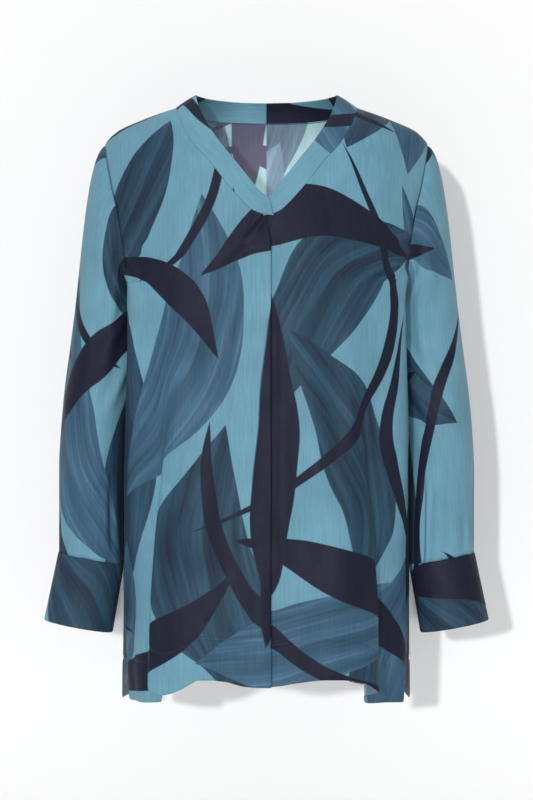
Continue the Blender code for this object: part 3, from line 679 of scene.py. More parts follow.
# Beside the arm, from this turn round the body on, they lose this share of their size.
ARM_STILLS = 0.85
ARM_TURN, ARM_TURN_RUN = 1.05, 0.35


def slack(grid, outward):
    """Soft upright waves that grow from nothing at the shoulders to the hem."""
    # Where the layers of a fold lie over each other they are lifted alike, so the wave is read from the
    # place round the body and not from the place on the cloth.
    turn = np.arctan2(grid[..., 0] / SLACK_HALF_WIDTH, np.abs(grid[..., 1]) / SLACK_HALF_DEPTH)
    across, height = turn * HALF_RING / (math.pi / 2), grid[..., 2]
    grow = SLACK_LEAST + (1 - SLACK_LEAST) * ease((SLACK_CHEST - height) / SLACK_GROWTH)
    grow = grow * ease((SLACK_TOP - height) / SLACK_ONSET)
    beside_arm = ARM_STILLS * ease((np.abs(turn) - ARM_TURN) / ARM_TURN_RUN)
    lift = np.zeros(across.shape)
    for values in SLACK:
        row = dict(zip(SLACK_COLUMNS, values))
        phase = (across + row["slant"] * height) * 2 * math.pi / row["wavelength"] + row["start"]
        lift += row["size"] * np.sin(phase)
    return grid + outward * (lift * grow * (1 - beside_arm))[..., None]


# %% Hem and seams
STITCH_SINK, STITCH_SINK_WIDTH = 0.0007, 0.0022
HEM_PUFF, HEM_PUFF_START, HEM_PUFF_END = 0.0006, 0.004, 0.008
SEAM_TURN, SLEEVE_SEAM_TURN = 0.0005, 0.0004


def press_hem(grid, flat, outside):
    """Sinks the line of hem stitches, and rounds the folded edge below it."""
    normal = normals_of(grid, False, outside)
    above = flat[..., 1] - flat[:1, :, 1]
    sink = -STITCH_SINK * np.exp(-(((above - HEM_STITCH) / STITCH_SINK_WIDTH) ** 2))
    puff = HEM_PUFF * ease(above / HEM_PUFF_START) * ease((HEM_STITCH - above) / HEM_PUFF_END)
    return grid + normal * (sink + puff)[..., None]


def turn_in(grid, normal, edges, depth=SEAM_TURN):
    """Turns the named edges of a grid inwards a little, as a sewn seam does."""
    for edge in edges:
        grid[edge] -= normal[edge] * depth


# Inside a fold the cloth faces backwards, so waves and creases follow the unfolded panel's directions.
front_outward = normals_of(front_unfolded, False, True)
front_grid = slack(front_grid, front_outward)
front_grid = crease(front_grid, "front", front_outward)
front_grid = press_hem(front_grid, front_flat, True)

# %% [markdown]
# ## From grid to cloth
#
# A thin open surface with a Solidify modifier is the usual way to make cloth: the modifier gives it two faces
# and an edge. It also lets the wrong side have its own, paler material. Each point's flat place is stored as
# UV in real metres, so the print and the weave keep one scale over the whole blouse.

# %% Making a cloth object
CLOTH_THICKNESS = 0.0006


def mesh_object(name, points, faces):
    """A new smooth mesh in the scene."""
    mesh = bpy.data.meshes.new(name)
    mesh.from_pydata(points, [], faces)
    mesh.shade_smooth()
    return new_object(name, mesh)


def cloth(name, grid, flat, closed=False, outside=True, thickness=CLOTH_THICKNESS):
    """A cloth object from a grid. flat has one column more than the grid where the grid is closed."""
    rows, columns = grid.shape[:2]
    row, place = np.meshgrid(
        np.arange(rows - 1), np.arange(columns if closed else columns - 1), indexing="ij"
    )
    corner = [(row, place), (row, place + 1), (row + 1, place + 1), (row + 1, place)]
    if not outside:
        corner = corner[::-1]
    faces = np.stack([a * columns + b % columns for a, b in corner], axis=-1).reshape(-1, 4)
    piece = mesh_object(name, grid.reshape(-1, 3).tolist(), faces.tolist())
    layer = piece.data.uv_layers.new(name="cloth")
    uvs = np.stack([flat[a, b] for a, b in corner], axis=-2).reshape(-1, 2)
    layer.data.foreach_set("uv", uvs.ravel())
    wall = piece.modifiers.new("wall", "SOLIDIFY")
    wall.thickness = thickness
    wall.offset = 0.0
    wall.material_offset = 1
    wall.use_quality_normals = True
    return piece


# Where on the printed cloth each piece was cut, as a shift of its flat places
CUT_FROM = {
    "front": (0.000, 0.000),
    "back_left": (0.403, 0.236),
    "back_right": (0.028, 0.242),
    "sleeve_left": (0.256, 0.204),
    "sleeve_right": (0.569, 0.109),
    "cuff_left": (0.030, 0.454),
    "cuff_right": (0.156, 0.393),
    "band_left": (0.007, 0.304),
    "band_right": (0.343, 0.722),
}

pieces = {}
front_normal = normals_of(front_grid, False, True)
turn_in(front_grid, front_normal, [-1])
pieces["front_panel"] = cloth("front", front_grid, front_flat + CUT_FROM["front"])

# %% [markdown]
# ## The backs
#
# The back isn't in the photograph, beyond its neck. It is finished plainly: two backs with a seam between
# them, soft folds like the front's, and the same hem.

# %% Backs
SEAM_LAP = 0.0002
back_grids = {}
for name, sign in SIDES:
    outside = sign == RIGHT
    grid, flat, unfolded = panel(BACK, sign, panel_columns(BACK, sign))
    outward = normals_of(unfolded, False, outside)
    grid = slack(grid, outward)
    grid = crease(grid, "back", outward)
    grid = press_hem(grid, flat, outside)
    turn_in(grid, normals_of(grid, False, outside), [-1, (slice(None), 0)])
    grid[:, 0, 0] = -sign * SEAM_LAP
    back_grids[name] = (grid, flat)
    cut = flat + CUT_FROM[f"back_{name}"]
    pieces[f"back_{name}"] = cloth(f"back_{name}_cloth", grid, cut, outside=outside)

# %% [markdown]
# ## The sleeves
#
# A set-in sleeve starts on the armhole and ends as a plain tube at the cuff. Every column of the grid is a
# curve that leaves the armhole outwards and down, and joins the tube smoothly. The tube is an oval whose size
# comes from a table.

# %% Sizes of the sleeves
SLEEVE_COLUMNS = ("height", "inner", "outer", "tilt", "middle", "depth")
SLEEVE = (
    (-0.5620, 0.1786, 0.2588, 10.5, 0.000, 0.0375),
    (-0.5300, 0.1785, 0.2588, 7.0, 0.000, 0.0405),
    (-0.4500, 0.1778, 0.2588, 3.0, 0.002, 0.0470),
    (-0.4000, 0.1744, 0.2565, 1.5, 0.004, 0.0510),
    (-0.3500, 0.1670, 0.2520, 0.0, 0.006, 0.0550),
    (-0.3000, 0.1610, 0.2455, 0.0, 0.009, 0.0585),
    (-0.2600, 0.1610, 0.2405, 0.0, 0.011, 0.0590),
)
SLEEVE_POWER = 2.2
CAP_RUN = 0.075
CAP_TOP_HEIGHT = -0.260
CUFF_SEAM_HEIGHT = -0.562
SEAM_CAP = 0.0003
SEAM_UNDERARM = 0.0012
SLEEVE_ROUND = 0.330
# Which way, across and up, the sleeve leaves the armhole at the underarm, how much that changes up to the
# shoulder tip, and how far it leans to the front or back between them
LEAN_UNDERARM, LEAN_CHANGE, LEAN_FORWARD = (0.65, -0.75), (0.25, 0.30), 0.35
NEARBY = 0.01
ARMHOLE_STEPS, UNDERARM_STEPS, UPPER_STEPS = 240, 60, 160
SLEEVE_COLUMN_COUNT = 180
TURNS = np.arange(SLEEVE_COLUMN_COUNT) * 2 * math.pi / SLEEVE_COLUMN_COUNT
CAP_ROWS = np.concatenate([[0, 0.01, 0.03], np.linspace(0.06, 1, 30)])
ARM_HEIGHTS = np.linspace(CAP_TOP_HEIGHT, CUFF_SEAM_HEIGHT, 74)[1:]

# %% Sleeve grid


def sleeve_size(name, z):
    """One of the sleeve's sizes at height z."""
    return from_table(z, SLEEVE, SLEEVE_COLUMNS, name)


def oval(centre, half_wide, half_deep, tilt, turn):
    """Points of a leaning oval, turn 0 on its outer side, then forwards."""
    power = 2 / SLEEVE_POWER
    wide = half_wide * np.sign(np.cos(turn)) * np.abs(np.cos(turn)) ** power
    deep = half_deep * np.sign(np.sin(turn)) * np.abs(np.sin(turn)) ** power
    return np.stack([
        centre[0] + wide * math.cos(tilt), centre[1] - deep, centre[2] + wide * math.sin(tilt)
    ], axis=-1)


def sleeve_ring(z, turn):
    """Points of the arm below the cap, at a ring's middle height."""
    inner, outer = sleeve_size("inner", z), sleeve_size("outer", z)
    tilt = math.radians(sleeve_size("tilt", z))
    half = (outer - inner) / 2 / math.cos(tilt)
    centre = ((outer + inner) / 2, sleeve_size("middle", z), z)
    return oval(centre, half, sleeve_size("depth", z), tilt, turn)


def armhole_loop(side):
    """Points of one panel's armhole from the underarm to the shoulder tip, evenly spaced, for the left."""
    angle, z = underarm_place(np.linspace(0, 1, UNDERARM_STEPS))
    low = torso_point(side, angle, z)
    across, z = armhole_place(np.linspace(0, 1, UPPER_STEPS)[1:])
    high = torso_point(side, angle_across(side, across, z), z)
    points = np.concatenate([low, high])
    length = lengths_along(points)
    return read_points(np.linspace(0, length[-1], ARMHOLE_STEPS), length, points)


def on_armhole(share):
    """Points on the whole armhole, one for each turn, at shares of the way up from the underarm."""
    front, back = (
        read_points(share, np.linspace(0, 1, ARMHOLE_STEPS), armhole_loop(side)) for side in (FRONT, BACK)
    )
    return np.where((TURNS <= math.pi)[:, None], front, back)


def sleeve():
    """The left sleeve's grid, rows from the armhole to the cuff, one column for each turn."""
    share = 1 - np.where(TURNS <= math.pi, TURNS, 2 * math.pi - TURNS) / math.pi
    start = on_armhole(share)
    along = unit(on_armhole(share + NEARBY) - on_armhole(share - NEARBY))
    outer = (1 + np.cos(TURNS)) / 2
    lean = unit(np.stack([
        LEAN_UNDERARM[0] + LEAN_CHANGE[0] * outer,
        -LEAN_FORWARD * np.sin(TURNS) * outer,
        LEAN_UNDERARM[1] + LEAN_CHANGE[1] * outer,
    ], axis=-1))
    away = unit(lean - along * np.sum(lean * along, axis=-1, keepdims=True))
    start = start + away * (SEAM_UNDERARM + (SEAM_CAP - SEAM_UNDERARM) * outer)[:, None]
    end = sleeve_ring(CAP_TOP_HEIGHT, TURNS)
    down = unit(sleeve_ring(CAP_TOP_HEIGHT - NEARBY, TURNS) - end)
    drop = np.linalg.norm(end - start, axis=-1, keepdims=True)
    leave = lean * np.minimum(CAP_RUN, drop)
    rows = [curve_between(start, end, leave, down * drop, w) for w in CAP_ROWS]
    rows += [sleeve_ring(z, TURNS) for z in ARM_HEIGHTS]
    return np.array(rows)


def tube_flat(grid, round_length):
    """Flat places for a closed grid, with one column more than the grid."""
    falls = np.linalg.norm(np.diff(grid, axis=0), axis=2)
    down = grid[:1, :, 2] - np.concatenate([np.zeros((1, grid.shape[1])), np.cumsum(falls, axis=0)])
    down = np.concatenate([down, down[:, :1]], axis=1)
    across = np.linspace(0, round_length, grid.shape[1] + 1)[None, :] + 0 * down
    return np.stack([across, down], axis=-1)


# %% [markdown]
# ### Creases of the sleeves
#
# The sleeves crease where the arm would bend and above the cuffs, where the cloth is eased in. The left and
# right ones differ. The creases run part of the way round, so they are given by a turn round the arm, in
# degrees, and a height.

# %% Sleeve creases
SLEEVE_CREASE_COLUMNS = ("arm", "turn", "height", "end_turn", "end_height", "width", "depth")
SLEEVE_CREASES = (
    # the tuck above the wearer's left cuff, and its neighbours
    ("left", 124, -0.455, 127, -0.562, 0.0034, -0.0034),
    ("left", 96, -0.470, 100, -0.562, 0.0070, 0.0022),
    ("left", 55, -0.490, 50, -0.562, 0.0080, -0.0020),
    ("left", 140, -0.330, 100, -0.400, 0.0080, 0.0030),
    ("left", 150, -0.290, 110, -0.330, 0.0070, 0.0026),
    ("left", 40, -0.300, 80, -0.400, 0.0110, 0.0022),
    ("left", 70, -0.120, 95, -0.260, 0.0100, 0.0028),
    ("left", 108, -0.215, 100, -0.330, 0.0090, 0.0026),
    ("left", 230, -0.430, 236, -0.562, 0.0080, -0.0030),
    ("left", 290, -0.300, 265, -0.420, 0.0110, 0.0022),
    ("left", 300, -0.480, 306, -0.562, 0.0080, -0.0020),
    ("left", 250, -0.150, 262, -0.290, 0.0100, 0.0020),
    # the wearer's right sleeve is smoother
    ("right", 128, -0.455, 132, -0.560, 0.0060, -0.0030),
    ("right", 88, -0.500, 84, -0.562, 0.0080, -0.0018),
    ("right", 145, -0.300, 112, -0.380, 0.0080, 0.0032),
    ("right", 138, -0.250, 100, -0.300, 0.0070, 0.0028),
    ("right", 60, -0.110, 90, -0.250, 0.0100, 0.0030),
    ("right", 115, -0.180, 96, -0.330, 0.0085, 0.0030),
    ("right", 35, -0.360, 70, -0.470, 0.0110, 0.0022),
    ("right", 226, -0.450, 232, -0.562, 0.0080, -0.0026),
    ("right", 280, -0.320, 258, -0.450, 0.0110, 0.0022),
    ("right", 255, -0.170, 268, -0.310, 0.0100, 0.0018),
)
ARM_RADIUS = 0.050
CREASE_PAST_SEAM = 0.02


def crease_sleeve(grid, arm):
    """Creases a left-hand sleeve grid along lines given by turn and height."""
    normal = normals_of(grid, True, True)
    turn = np.broadcast_to(np.degrees(TURNS), grid.shape[:2])
    round_place = np.stack([turn * math.pi / 180 * ARM_RADIUS, 0 * turn, grid[..., 2]], axis=-1)
    lift = np.zeros(grid.shape[:2])
    for values in SLEEVE_CREASES:
        row = dict(zip(SLEEVE_CREASE_COLUMNS, values))
        if row["arm"] != arm:
            continue
        start, end = (math.radians(row[place]) * ARM_RADIUS for place in ("turn", "end_turn"))
        # A crease that reaches the cuff seam goes into it at its full depth.
        past_seam = CREASE_PAST_SEAM if row["end_height"] <= CUFF_SEAM_HEIGHT else 0.0
        path = ((start, row["height"]), (end, row["end_height"] - past_seam))
        lift += row["depth"] * crease_lift(round_place, path, row["width"])
    return grid + normal * lift[..., None]


# %% Sleeves
for name, sign in SIDES:
    grid = crease_sleeve(sleeve(), name)
    turn_in(grid, normals_of(grid, True, True), [0], depth=SLEEVE_SEAM_TURN)
    flat = tube_flat(grid, SLEEVE_ROUND)
    grid = grid * (sign, 1, 1)
    flat = flat * (sign, 1) + CUT_FROM[f"sleeve_{name}"]
    pieces[f"sleeve_{name}"] = cloth(f"sleeve_{name}_cloth", grid, flat, closed=True, outside=sign == LEFT)

# %% [markdown]
# ## The cuffs
#
# The cuffs are folded double over an interlining, so they are thicker and smoother than the sleeves. They
# flare a little and lean outwards. Their seam stands just over the sleeve's end.

# %% Cuffs
CUFF_LENGTH = 0.0858
CUFF_TILT = math.radians(10.5)
CUFF_HEM_HALF_WIDTH = 0.0425
CUFF_HEM_HALF_DEPTH = 0.0395
CUFF_THICKNESS = 0.0013
CUFF_ROWS = np.concatenate([[0, 0.012, 0.03], np.linspace(0.07, 0.96, 18), [0.985, 1]])
# The fold at the hand end is round, and the sewn end is turned in under itself.
CUFF_FOLD, CUFF_FOLD_SHARE = 0.0004, 0.02
CUFF_SEAM_TURN, CUFF_SEAM_SHARE = 0.0003, 0.03
# Two slow waves round the cuff: size, waves in a turn, start. The first grows towards the hand.
FLARE_WAVE, EVEN_WAVE = (0.010, 3, 1.1), (0.006, 5, 0.3)
CUFF_ROUND = SLEEVE_ROUND * 0.78


def cuff():
    """The left cuff's grid, from the sleeve seam to the hand."""
    z = CUFF_SEAM_HEIGHT
    tilt = math.radians(sleeve_size("tilt", z))
    inner, outer = float(sleeve_size("inner", z)), float(sleeve_size("outer", z))
    top_half = (outer - inner) / 2 / math.cos(tilt)
    top_depth = float(sleeve_size("depth", z))
    top = np.array([(outer + inner) / 2, float(sleeve_size("middle", z)), z])
    axis = np.array([math.sin(CUFF_TILT), 0.0, -math.cos(CUFF_TILT)])
    (flare, flare_count, flare_start), (even, even_count, even_start) = FLARE_WAVE, EVEN_WAVE
    rows = []
    for w in CUFF_ROWS:
        pull = -CUFF_FOLD * ease((w - (1 - CUFF_FOLD_SHARE)) / CUFF_FOLD_SHARE)
        pull = pull + CUFF_SEAM_TURN * ease(w / CUFF_SEAM_SHARE)
        centre = top + axis * CUFF_LENGTH * w
        wide = top_half + (CUFF_HEM_HALF_WIDTH - top_half) * w + pull
        deep = top_depth + (CUFF_HEM_HALF_DEPTH - top_depth) * w + pull
        wave = 1 + flare * w * np.sin(flare_count * TURNS + flare_start)
        wave = wave + even * np.sin(even_count * TURNS + even_start)
        rows.append(oval(centre, wide * wave, deep * wave, CUFF_TILT, TURNS))
    return np.array(rows)


cuff_grid = cuff()
for name, sign in SIDES:
    flat = tube_flat(cuff_grid, CUFF_ROUND) * (sign, 1) + CUT_FROM[f"cuff_{name}"]
    pieces[f"cuff_{name}"] = cloth(
        f"cuff_{name}_cloth", cuff_grid * (sign, 1, 1), flat, closed=True,
        outside=sign == LEFT, thickness=CUFF_THICKNESS,
    )

# %% [markdown]
# ## The neckband
#
# The band is a doubled strip. It stands up round the back of the neck, lies flat on the chest at the front,
# and its right end crosses over its left end at the foot of the V.

# %% Neckband
BAND_COLUMNS = ("part", "share", "across", "forward", "height")
BAND = (
    ("back", 0.00, 0.0000, -0.0640, 0.0135),
    ("back", 0.28, 0.0290, -0.0610, 0.0138),
    ("back", 0.56, 0.0560, -0.0490, 0.0145),
    ("back", 0.80, 0.0760, -0.0290, 0.0152),
    ("back", 1.00, 0.0870, 0.0000, 0.0155),
    ("front", 0.91, 0.0855, 0.0180, 0.0060),
    ("front", 0.80, 0.0790, 0.0340, -0.0120),
    ("front", 0.64, 0.0620, 0.0610, -0.0420),
    ("front", 0.42, 0.0390, 0.0850, -0.0730),
    ("front", 0.22, 0.0190, 0.0985, -0.0990),
    ("front", 0.11, 0.0085, 0.1035, -0.1125),
    ("front", 0.01, 0.0010, 0.1065, -0.1215),
)
# Where each half ends on the seam and at the free edge, from the centre line
BAND_END = {LEFT: (-0.0040, 0.0010), RIGHT: (-0.0085, -0.0030)}
# How far the right end stands over the left one, and where along the band and across it that comes in
BAND_CROSSING = 0.0020
CROSSING_START, CROSSING_RUN = 0.84, 0.10
CROSSING_AT_SEAM, CROSSING_RISE = 0.35, 0.5
BAND_STAND = 0.0007
BAND_BULGE = 0.0012
BAND_THICKNESS = 0.0016
BAND_PLACES = np.linspace(0, 1, 120)
BAND_ROWS = np.concatenate([[-0.045, 0.0, 0.05], np.linspace(0.12, 0.9, 12), [0.95, 0.985, 1.0]])


def neckline_point(side, share):
    """Points on the left half of a panel's neckline, at shares of its length from the centre line."""
    across, height = along_line(neckline(side), share)
    return torso_point(side, angle_across(side, np.maximum(across, OFF_CENTRE), height), height)


def band_seam(stations, end):
    """The band's sewn edge: along the back neckline, down the front one, and on past the foot of the V."""
    shoulder = max(k for k, row in enumerate(BAND) if row[0] == "back")
    shares = column(BAND, BAND_COLUMNS, "share")
    on_back = neckline_point(BACK, smooth(BAND_PLACES, stations[:shoulder + 1], shares[:shoulder + 1]))
    on_front = neckline_point(FRONT, smooth(BAND_PLACES, stations[shoulder:], shares[shoulder:]))
    seam = np.where((BAND_PLACES <= stations[shoulder])[:, None], on_back, on_front)
    past = (BAND_PLACES - stations[-2]) / (stations[-1] - stations[-2])
    seam[:, 0] += (end - seam[-1, 0]) * np.clip(past, 0, 1)
    return seam


def band(sign):
    """One half of the neckband, rows from the seam to the free edge, columns from the centre back."""
    stations = np.linspace(0, 1, len(BAND))
    across, forward, height = (column(BAND, BAND_COLUMNS, k) for k in ("across", "forward", "height"))
    free = np.stack([across, -forward, height], axis=-1)
    seam_end, free[-1][0] = BAND_END[sign]
    low = band_seam(stations, seam_end)
    high = np.stack([smooth(BAND_PLACES, stations, free[:, k]) for k in range(3)], axis=-1)
    out = unit(low * (1, 1, 0))
    crossing = ease((BAND_PLACES - CROSSING_START) / CROSSING_RUN)
    apart = BAND_CROSSING if sign == RIGHT else -BAND_CROSSING / 2
    rows = []
    for w in BAND_ROWS:
        points = low + (high - low) * w
        points = points + out * (BAND_BULGE * 4 * w * (1 - w) + BAND_STAND)
        # The right end lies over the left one, and they come nearer each other at the seam.
        share = CROSSING_AT_SEAM + (1 - CROSSING_AT_SEAM) * ease(w / CROSSING_RISE)
        points[:, 1] -= apart * crossing * share
        rows.append(points)
    grid = np.array(rows)
    along = lengths_along(grid[0])
    across = BAND_ROWS[:, None] * np.linalg.norm(high - low, axis=1)[None, :]
    # The band is cut lengthwise, so the grain runs along it.
    flat = np.stack([across, 0 * across - along], axis=-1)
    return grid * (sign, 1, 1), flat


for name, sign in SIDES:
    grid, flat = band(sign)
    grid[:, 0, 0] = -sign * SEAM_LAP
    cut = flat + CUT_FROM[f"band_{name}"]
    pieces[f"neckband_{name}"] = cloth(
        f"band_{name}", grid, cut, outside=sign == RIGHT, thickness=BAND_THICKNESS
    )
print("cloth pieces", sorted(pieces))

# %% [markdown]
# ## Stitches
#
# Sewing thread is real geometry here: short raised lozenges, one for each stitch, so that the hem and slits
# still read as sewn from close by. Eleven stitches to 3 cm is usual for a blouse.

# %% Rows of stitches
STITCH_STEP = 0.0027
STITCH_LENGTH = 0.0020
STITCH_WIDTH = 0.00045
# How far a stitch's middle stands out of the cloth, as a share of its width
STITCH_STAND = 0.25
SLIT_INSET = 0.009


def even_path(points, normals, step):
    """Points and normals at even steps along a line."""
    length = lengths_along(points)
    where = np.arange(step / 2, length[-1], step)
    return read_points(where, length, points), unit(read_points(where, length, normals))


def stitches(name, lines):
    """One mesh of stitches along lines of (points, normals)."""
    points, faces = [], []
    for line, normals in lines:
        middle, up = even_path(line, normals, STITCH_STEP)
        along = unit(np.gradient(middle, axis=0))
        aside = unit(np.cross(up, along))
        middle = middle + up * (CLOTH_THICKNESS / 2 + STITCH_WIDTH * STITCH_STAND)
        along, aside, thick = along * STITCH_LENGTH / 2, aside * STITCH_WIDTH / 2, up * STITCH_WIDTH / 2
        for m, a, s, n in zip(middle, along, aside, thick):
            first = len(points)
            # Both ends dip into the cloth; four more points go round the stitch's middle.
            points += [tuple(p) for p in (m - a - n, m + a - n, m + s, m + n, m - s, m - n)]
            for k in range(4):
                here, after = first + 2 + k, first + 2 + (k + 1) % 4
                faces.append((first, after, here))
                faces.append((first + 1, here, after))
    print(name, len(faces), "triangles")
    return mesh_object(name, points, faces)


def line_across(where, lengths, grid, normal):
    """Points and normals at one length along each line of a grid."""
    points, ups = (
        np.array([read_points(where, length, line) for length, line in zip(lengths, lines)])
        for lines in (grid, normal)
    )
    return points, unit(ups)


def panel_lines(grid, flat, outside, slit_edges):
    """The lines of stitches on a panel: one above its hem, and one beside each of its slits."""
    normal = normals_of(grid, False, outside)
    above = flat[..., 1] - flat[:1, :, 1]
    lines = [line_across(HEM_STITCH, above.T, grid.swapaxes(0, 1), normal.swapaxes(0, 1))]
    for edge in slit_edges:
        rows = grid[:, edge, 2] < SLIT_TOP_HEIGHT
        inwards = slice(None) if edge == 0 else slice(None, None, -1)
        distance = np.abs(flat[rows, :, 0] - flat[rows, edge, 0][:, None])[:, inwards]
        lines.append(line_across(SLIT_INSET, distance, grid[rows][:, inwards], normal[rows][:, inwards]))
    return lines


front_stitches = stitches("front_stitches", panel_lines(front_grid, front_flat, True, (0, -1)))
back_stitches = {}
for name, sign in SIDES:
    lines = panel_lines(*back_grids[name], sign == RIGHT, (-1,))
    back_stitches[name] = stitches(f"back_stitches_{name}", lines)

# %% [markdown]
# ## The print
#
# The cloth carries a large print of painted leaves and stems in slate, petrol and navy on teal. Each leaf is
# a few sums on the flat place: turn the place into the leaf's own direction, bend it, and ask whether it lies
# inside a curved outline. Later leaves lie over earlier ones. The design repeats every 62 by 74 cm, as wide
# woven prints do.

# %% Colours


def colour(code):
    """A linear colour from an sRGB hex code."""
    parts = [int(code[k : k + 2], 16) / 255 for k in (1, 3, 5)]
    linear = [c / 12.92 if c <= 0.04045 else ((c + 0.055) / 1.055) ** 2.4 for c in parts]
    return (*linear, 1.0)


# Teal ground, slate, petrol and navy, as they show on the right side and paler on the wrong side. The wrong
# side shows less dye, and its colours are also painted lighter, as painted light inside the blouse.
RIGHT_SIDE_DYES = (colour("#6796A8"), colour("#3E6078"), colour("#2A4456"), colour("#1D2031"))
WRONG_SIDE_DYES_WITH_PAINTED_LIGHT = (colour("#B4D6DD"), colour("#8BA2B4"), colour("#73889B"), colour("#66647A"))

# %% Adding nodes


def give(tree, node, inputs):
    """Gives each input of a node a value or another node's output."""
    for socket, value in dict(inputs).items():
        if isinstance(value, bpy.types.NodeSocket):
            tree.links.new(value, node.inputs[socket])
        else:
            node.inputs[socket].default_value = value


def add(tree, kind, inputs=(), **settings):
    """Adds a node with its settings and inputs."""
    node = tree.nodes.new(kind)
    for name, value in settings.items():
        setattr(node, name, value)
    give(tree, node, inputs)
    return node


def reckon(tree, operation, *values):
    """A sum on numbers, as a node's output."""
    return add(tree, "ShaderNodeMath", dict(enumerate(values)), operation=operation).outputs[0]


def reckon_places(tree, operation, *values):
    """A sum on places, as a node's output."""
    return add(tree, "ShaderNodeVectorMath", dict(enumerate(values)), operation=operation).outputs[0]


def spread(tree, value, low, high, to_low=0.0, to_high=1.0):
    """A value between low and high, moved to lie between to_low and to_high."""
    return add(tree, "ShaderNodeMapRange", {
        "Value": value, "From Min": low, "From Max": high, "To Min": to_low, "To Max": to_high,
    }).outputs[0]


def noise(tree, place, stretch, detail):
    """Noise on stretched places. stretch is how many of its grains there are in a metre, each way."""
    stretched = reckon_places(tree, "MULTIPLY", place, stretch)
    return add(tree, "ShaderNodeTexNoise", {"Vector": stretched, "Scale": 1.0, "Detail": detail}).outputs[0]


def new_material(name):
    """A material, its nodes and its shader."""
    material = bpy.data.materials.new(name)
    material.use_nodes = True
    return material, material.node_tree, material.node_tree.nodes["Principled BSDF"]


# %% Leaves and stems of the print
REPEAT = (0.62, 0.74)
GROUND, LIGHT, DEEP, DARK = 0.0, 0.48, 0.72, 1.0
MOTIF_COLUMNS = ("across", "up", "turn", "half_length", "half_width", "bow", "power", "tone")
MOTIFS = (
    (-0.200, -0.430, 86, 0.230, 0.046, 0.5, 2.0, DEEP),
    (0.235, -0.250, 99, 0.190, 0.038, 0.8, 2.0, LIGHT),
    (-0.090, -0.310, 72, 0.200, 0.054, 1.3, 2.0, LIGHT),
    (0.080, -0.215, 54, 0.150, 0.058, -1.8, 2.0, DEEP),
    (0.120, -0.450, 104, 0.190, 0.052, 1.3, 2.0, DEEP),
    (-0.070, -0.580, 99, 0.180, 0.058, -1.4, 2.0, DEEP),
    (0.205, -0.640, 74, 0.150, 0.050, -1.0, 2.0, LIGHT),
    (0.128, -0.685, 82, 0.100, 0.036, 1.4, 2.0, DEEP),
    (-0.190, -0.115, 48, 0.140, 0.046, 1.6, 2.0, DEEP),
    (0.055, -0.655, 20, 0.140, 0.050, 1.2, 2.0, LIGHT),
    (-0.250, -0.660, 60, 0.130, 0.044, 1.2, 2.0, LIGHT),
    (0.010, -0.430, 89, 0.230, 0.026, 0.3, 2.0, DARK),
    (0.045, -0.135, 12, 0.140, 0.032, -2.4, 2.0, DARK),
    (-0.135, -0.200, 138, 0.130, 0.024, 2.0, 2.0, DARK),
    (0.110, -0.585, 146, 0.150, 0.026, 1.8, 2.0, DARK),
    (-0.150, -0.680, 30, 0.150, 0.024, 1.8, 2.0, DARK),
    (0.240, -0.470, 62, 0.150, 0.022, -1.6, 2.0, DARK),
    (0.145, -0.330, 70, 0.260, 0.0070, 2.2, 6.0, DARK),
    (0.200, -0.520, 122, 0.230, 0.0075, -2.2, 6.0, DARK),
    (-0.235, -0.300, 98, 0.260, 0.0080, 1.3, 6.0, DARK),
    (-0.020, -0.610, 124, 0.210, 0.0100, -1.8, 6.0, DARK),
    (-0.070, -0.120, 64, 0.130, 0.0060, 2.6, 6.0, DARK),
)
EDGE_SOFTNESS = 0.0007


def paint_motif(tree, place, own_place, tone, motif):
    """Lays a leaf or stem over what is painted so far. Gives the new own_place and tone."""
    row = dict(zip(MOTIF_COLUMNS, motif))
    half = (REPEAT[0] / 2, REPEAT[1] / 2, 1.0)
    offset = reckon_places(tree, "SUBTRACT", place, (row["across"], row["up"], 0.0))
    inside = reckon_places(tree, "WRAP", offset, half, tuple(-x for x in half))
    turned = add(
        tree, "ShaderNodeVectorRotate",
        {"Vector": inside, "Angle": math.radians(-row["turn"])}, rotation_type="Z_AXIS",
    )
    parts = add(tree, "ShaderNodeSeparateXYZ", {0: turned.outputs[0]})
    along = parts.outputs["X"]
    square = reckon(tree, "MULTIPLY", along, along)
    aside = reckon(tree, "MULTIPLY_ADD", square, -row["bow"], parts.outputs["Y"])
    reach = reckon(tree, "MULTIPLY", square, row["half_length"] ** -2)
    end = reckon(tree, "POWER", reach, row["power"] / 2)
    outline = reckon(tree, "MULTIPLY_ADD", end, -row["half_width"], row["half_width"])
    within = reckon(tree, "SUBTRACT", outline, reckon(tree, "ABSOLUTE", aside))
    mask = spread(tree, within, -EDGE_SOFTNESS, EDGE_SOFTNESS)
    own = add(tree, "ShaderNodeCombineXYZ", {"X": along, "Y": aside})
    layered = add(tree, "ShaderNodeMix", {0: mask, 4: own_place, 5: own.outputs[0]}, data_type="VECTOR")
    deeper = add(tree, "ShaderNodeMix", {0: mask, 2: tone, 3: row["tone"]}, data_type="FLOAT")
    return layered.outputs[1], deeper.outputs[0]


# %% The print as one node group
HAND_SCALE, HAND_WOBBLE = 6.5, (0.026, 0.026, 0.0)
HAIR_GRAINS, STROKE_GRAINS = (7.0, 260.0, 1.0), (4.0, 50.0, 1.0)
HAIR_SHARE = 0.5
STREAK_RANGE, STREAK = (0.45, 1.05), 0.26
# The tones over which the streaks come in, and over which they fade, to this share, in the navy
STREAKS_COME, STREAKS_FADE, DARK_STREAKS = (0.0, 0.35), (0.75, 0.95), 0.12
DYE_CLOUD_SCALE, DYE_DEPTHS = 14.0, (0.90, 1.07)
# Most of a noise texture's values lie in this range.
NOISE_RANGE = (0.3, 0.7)


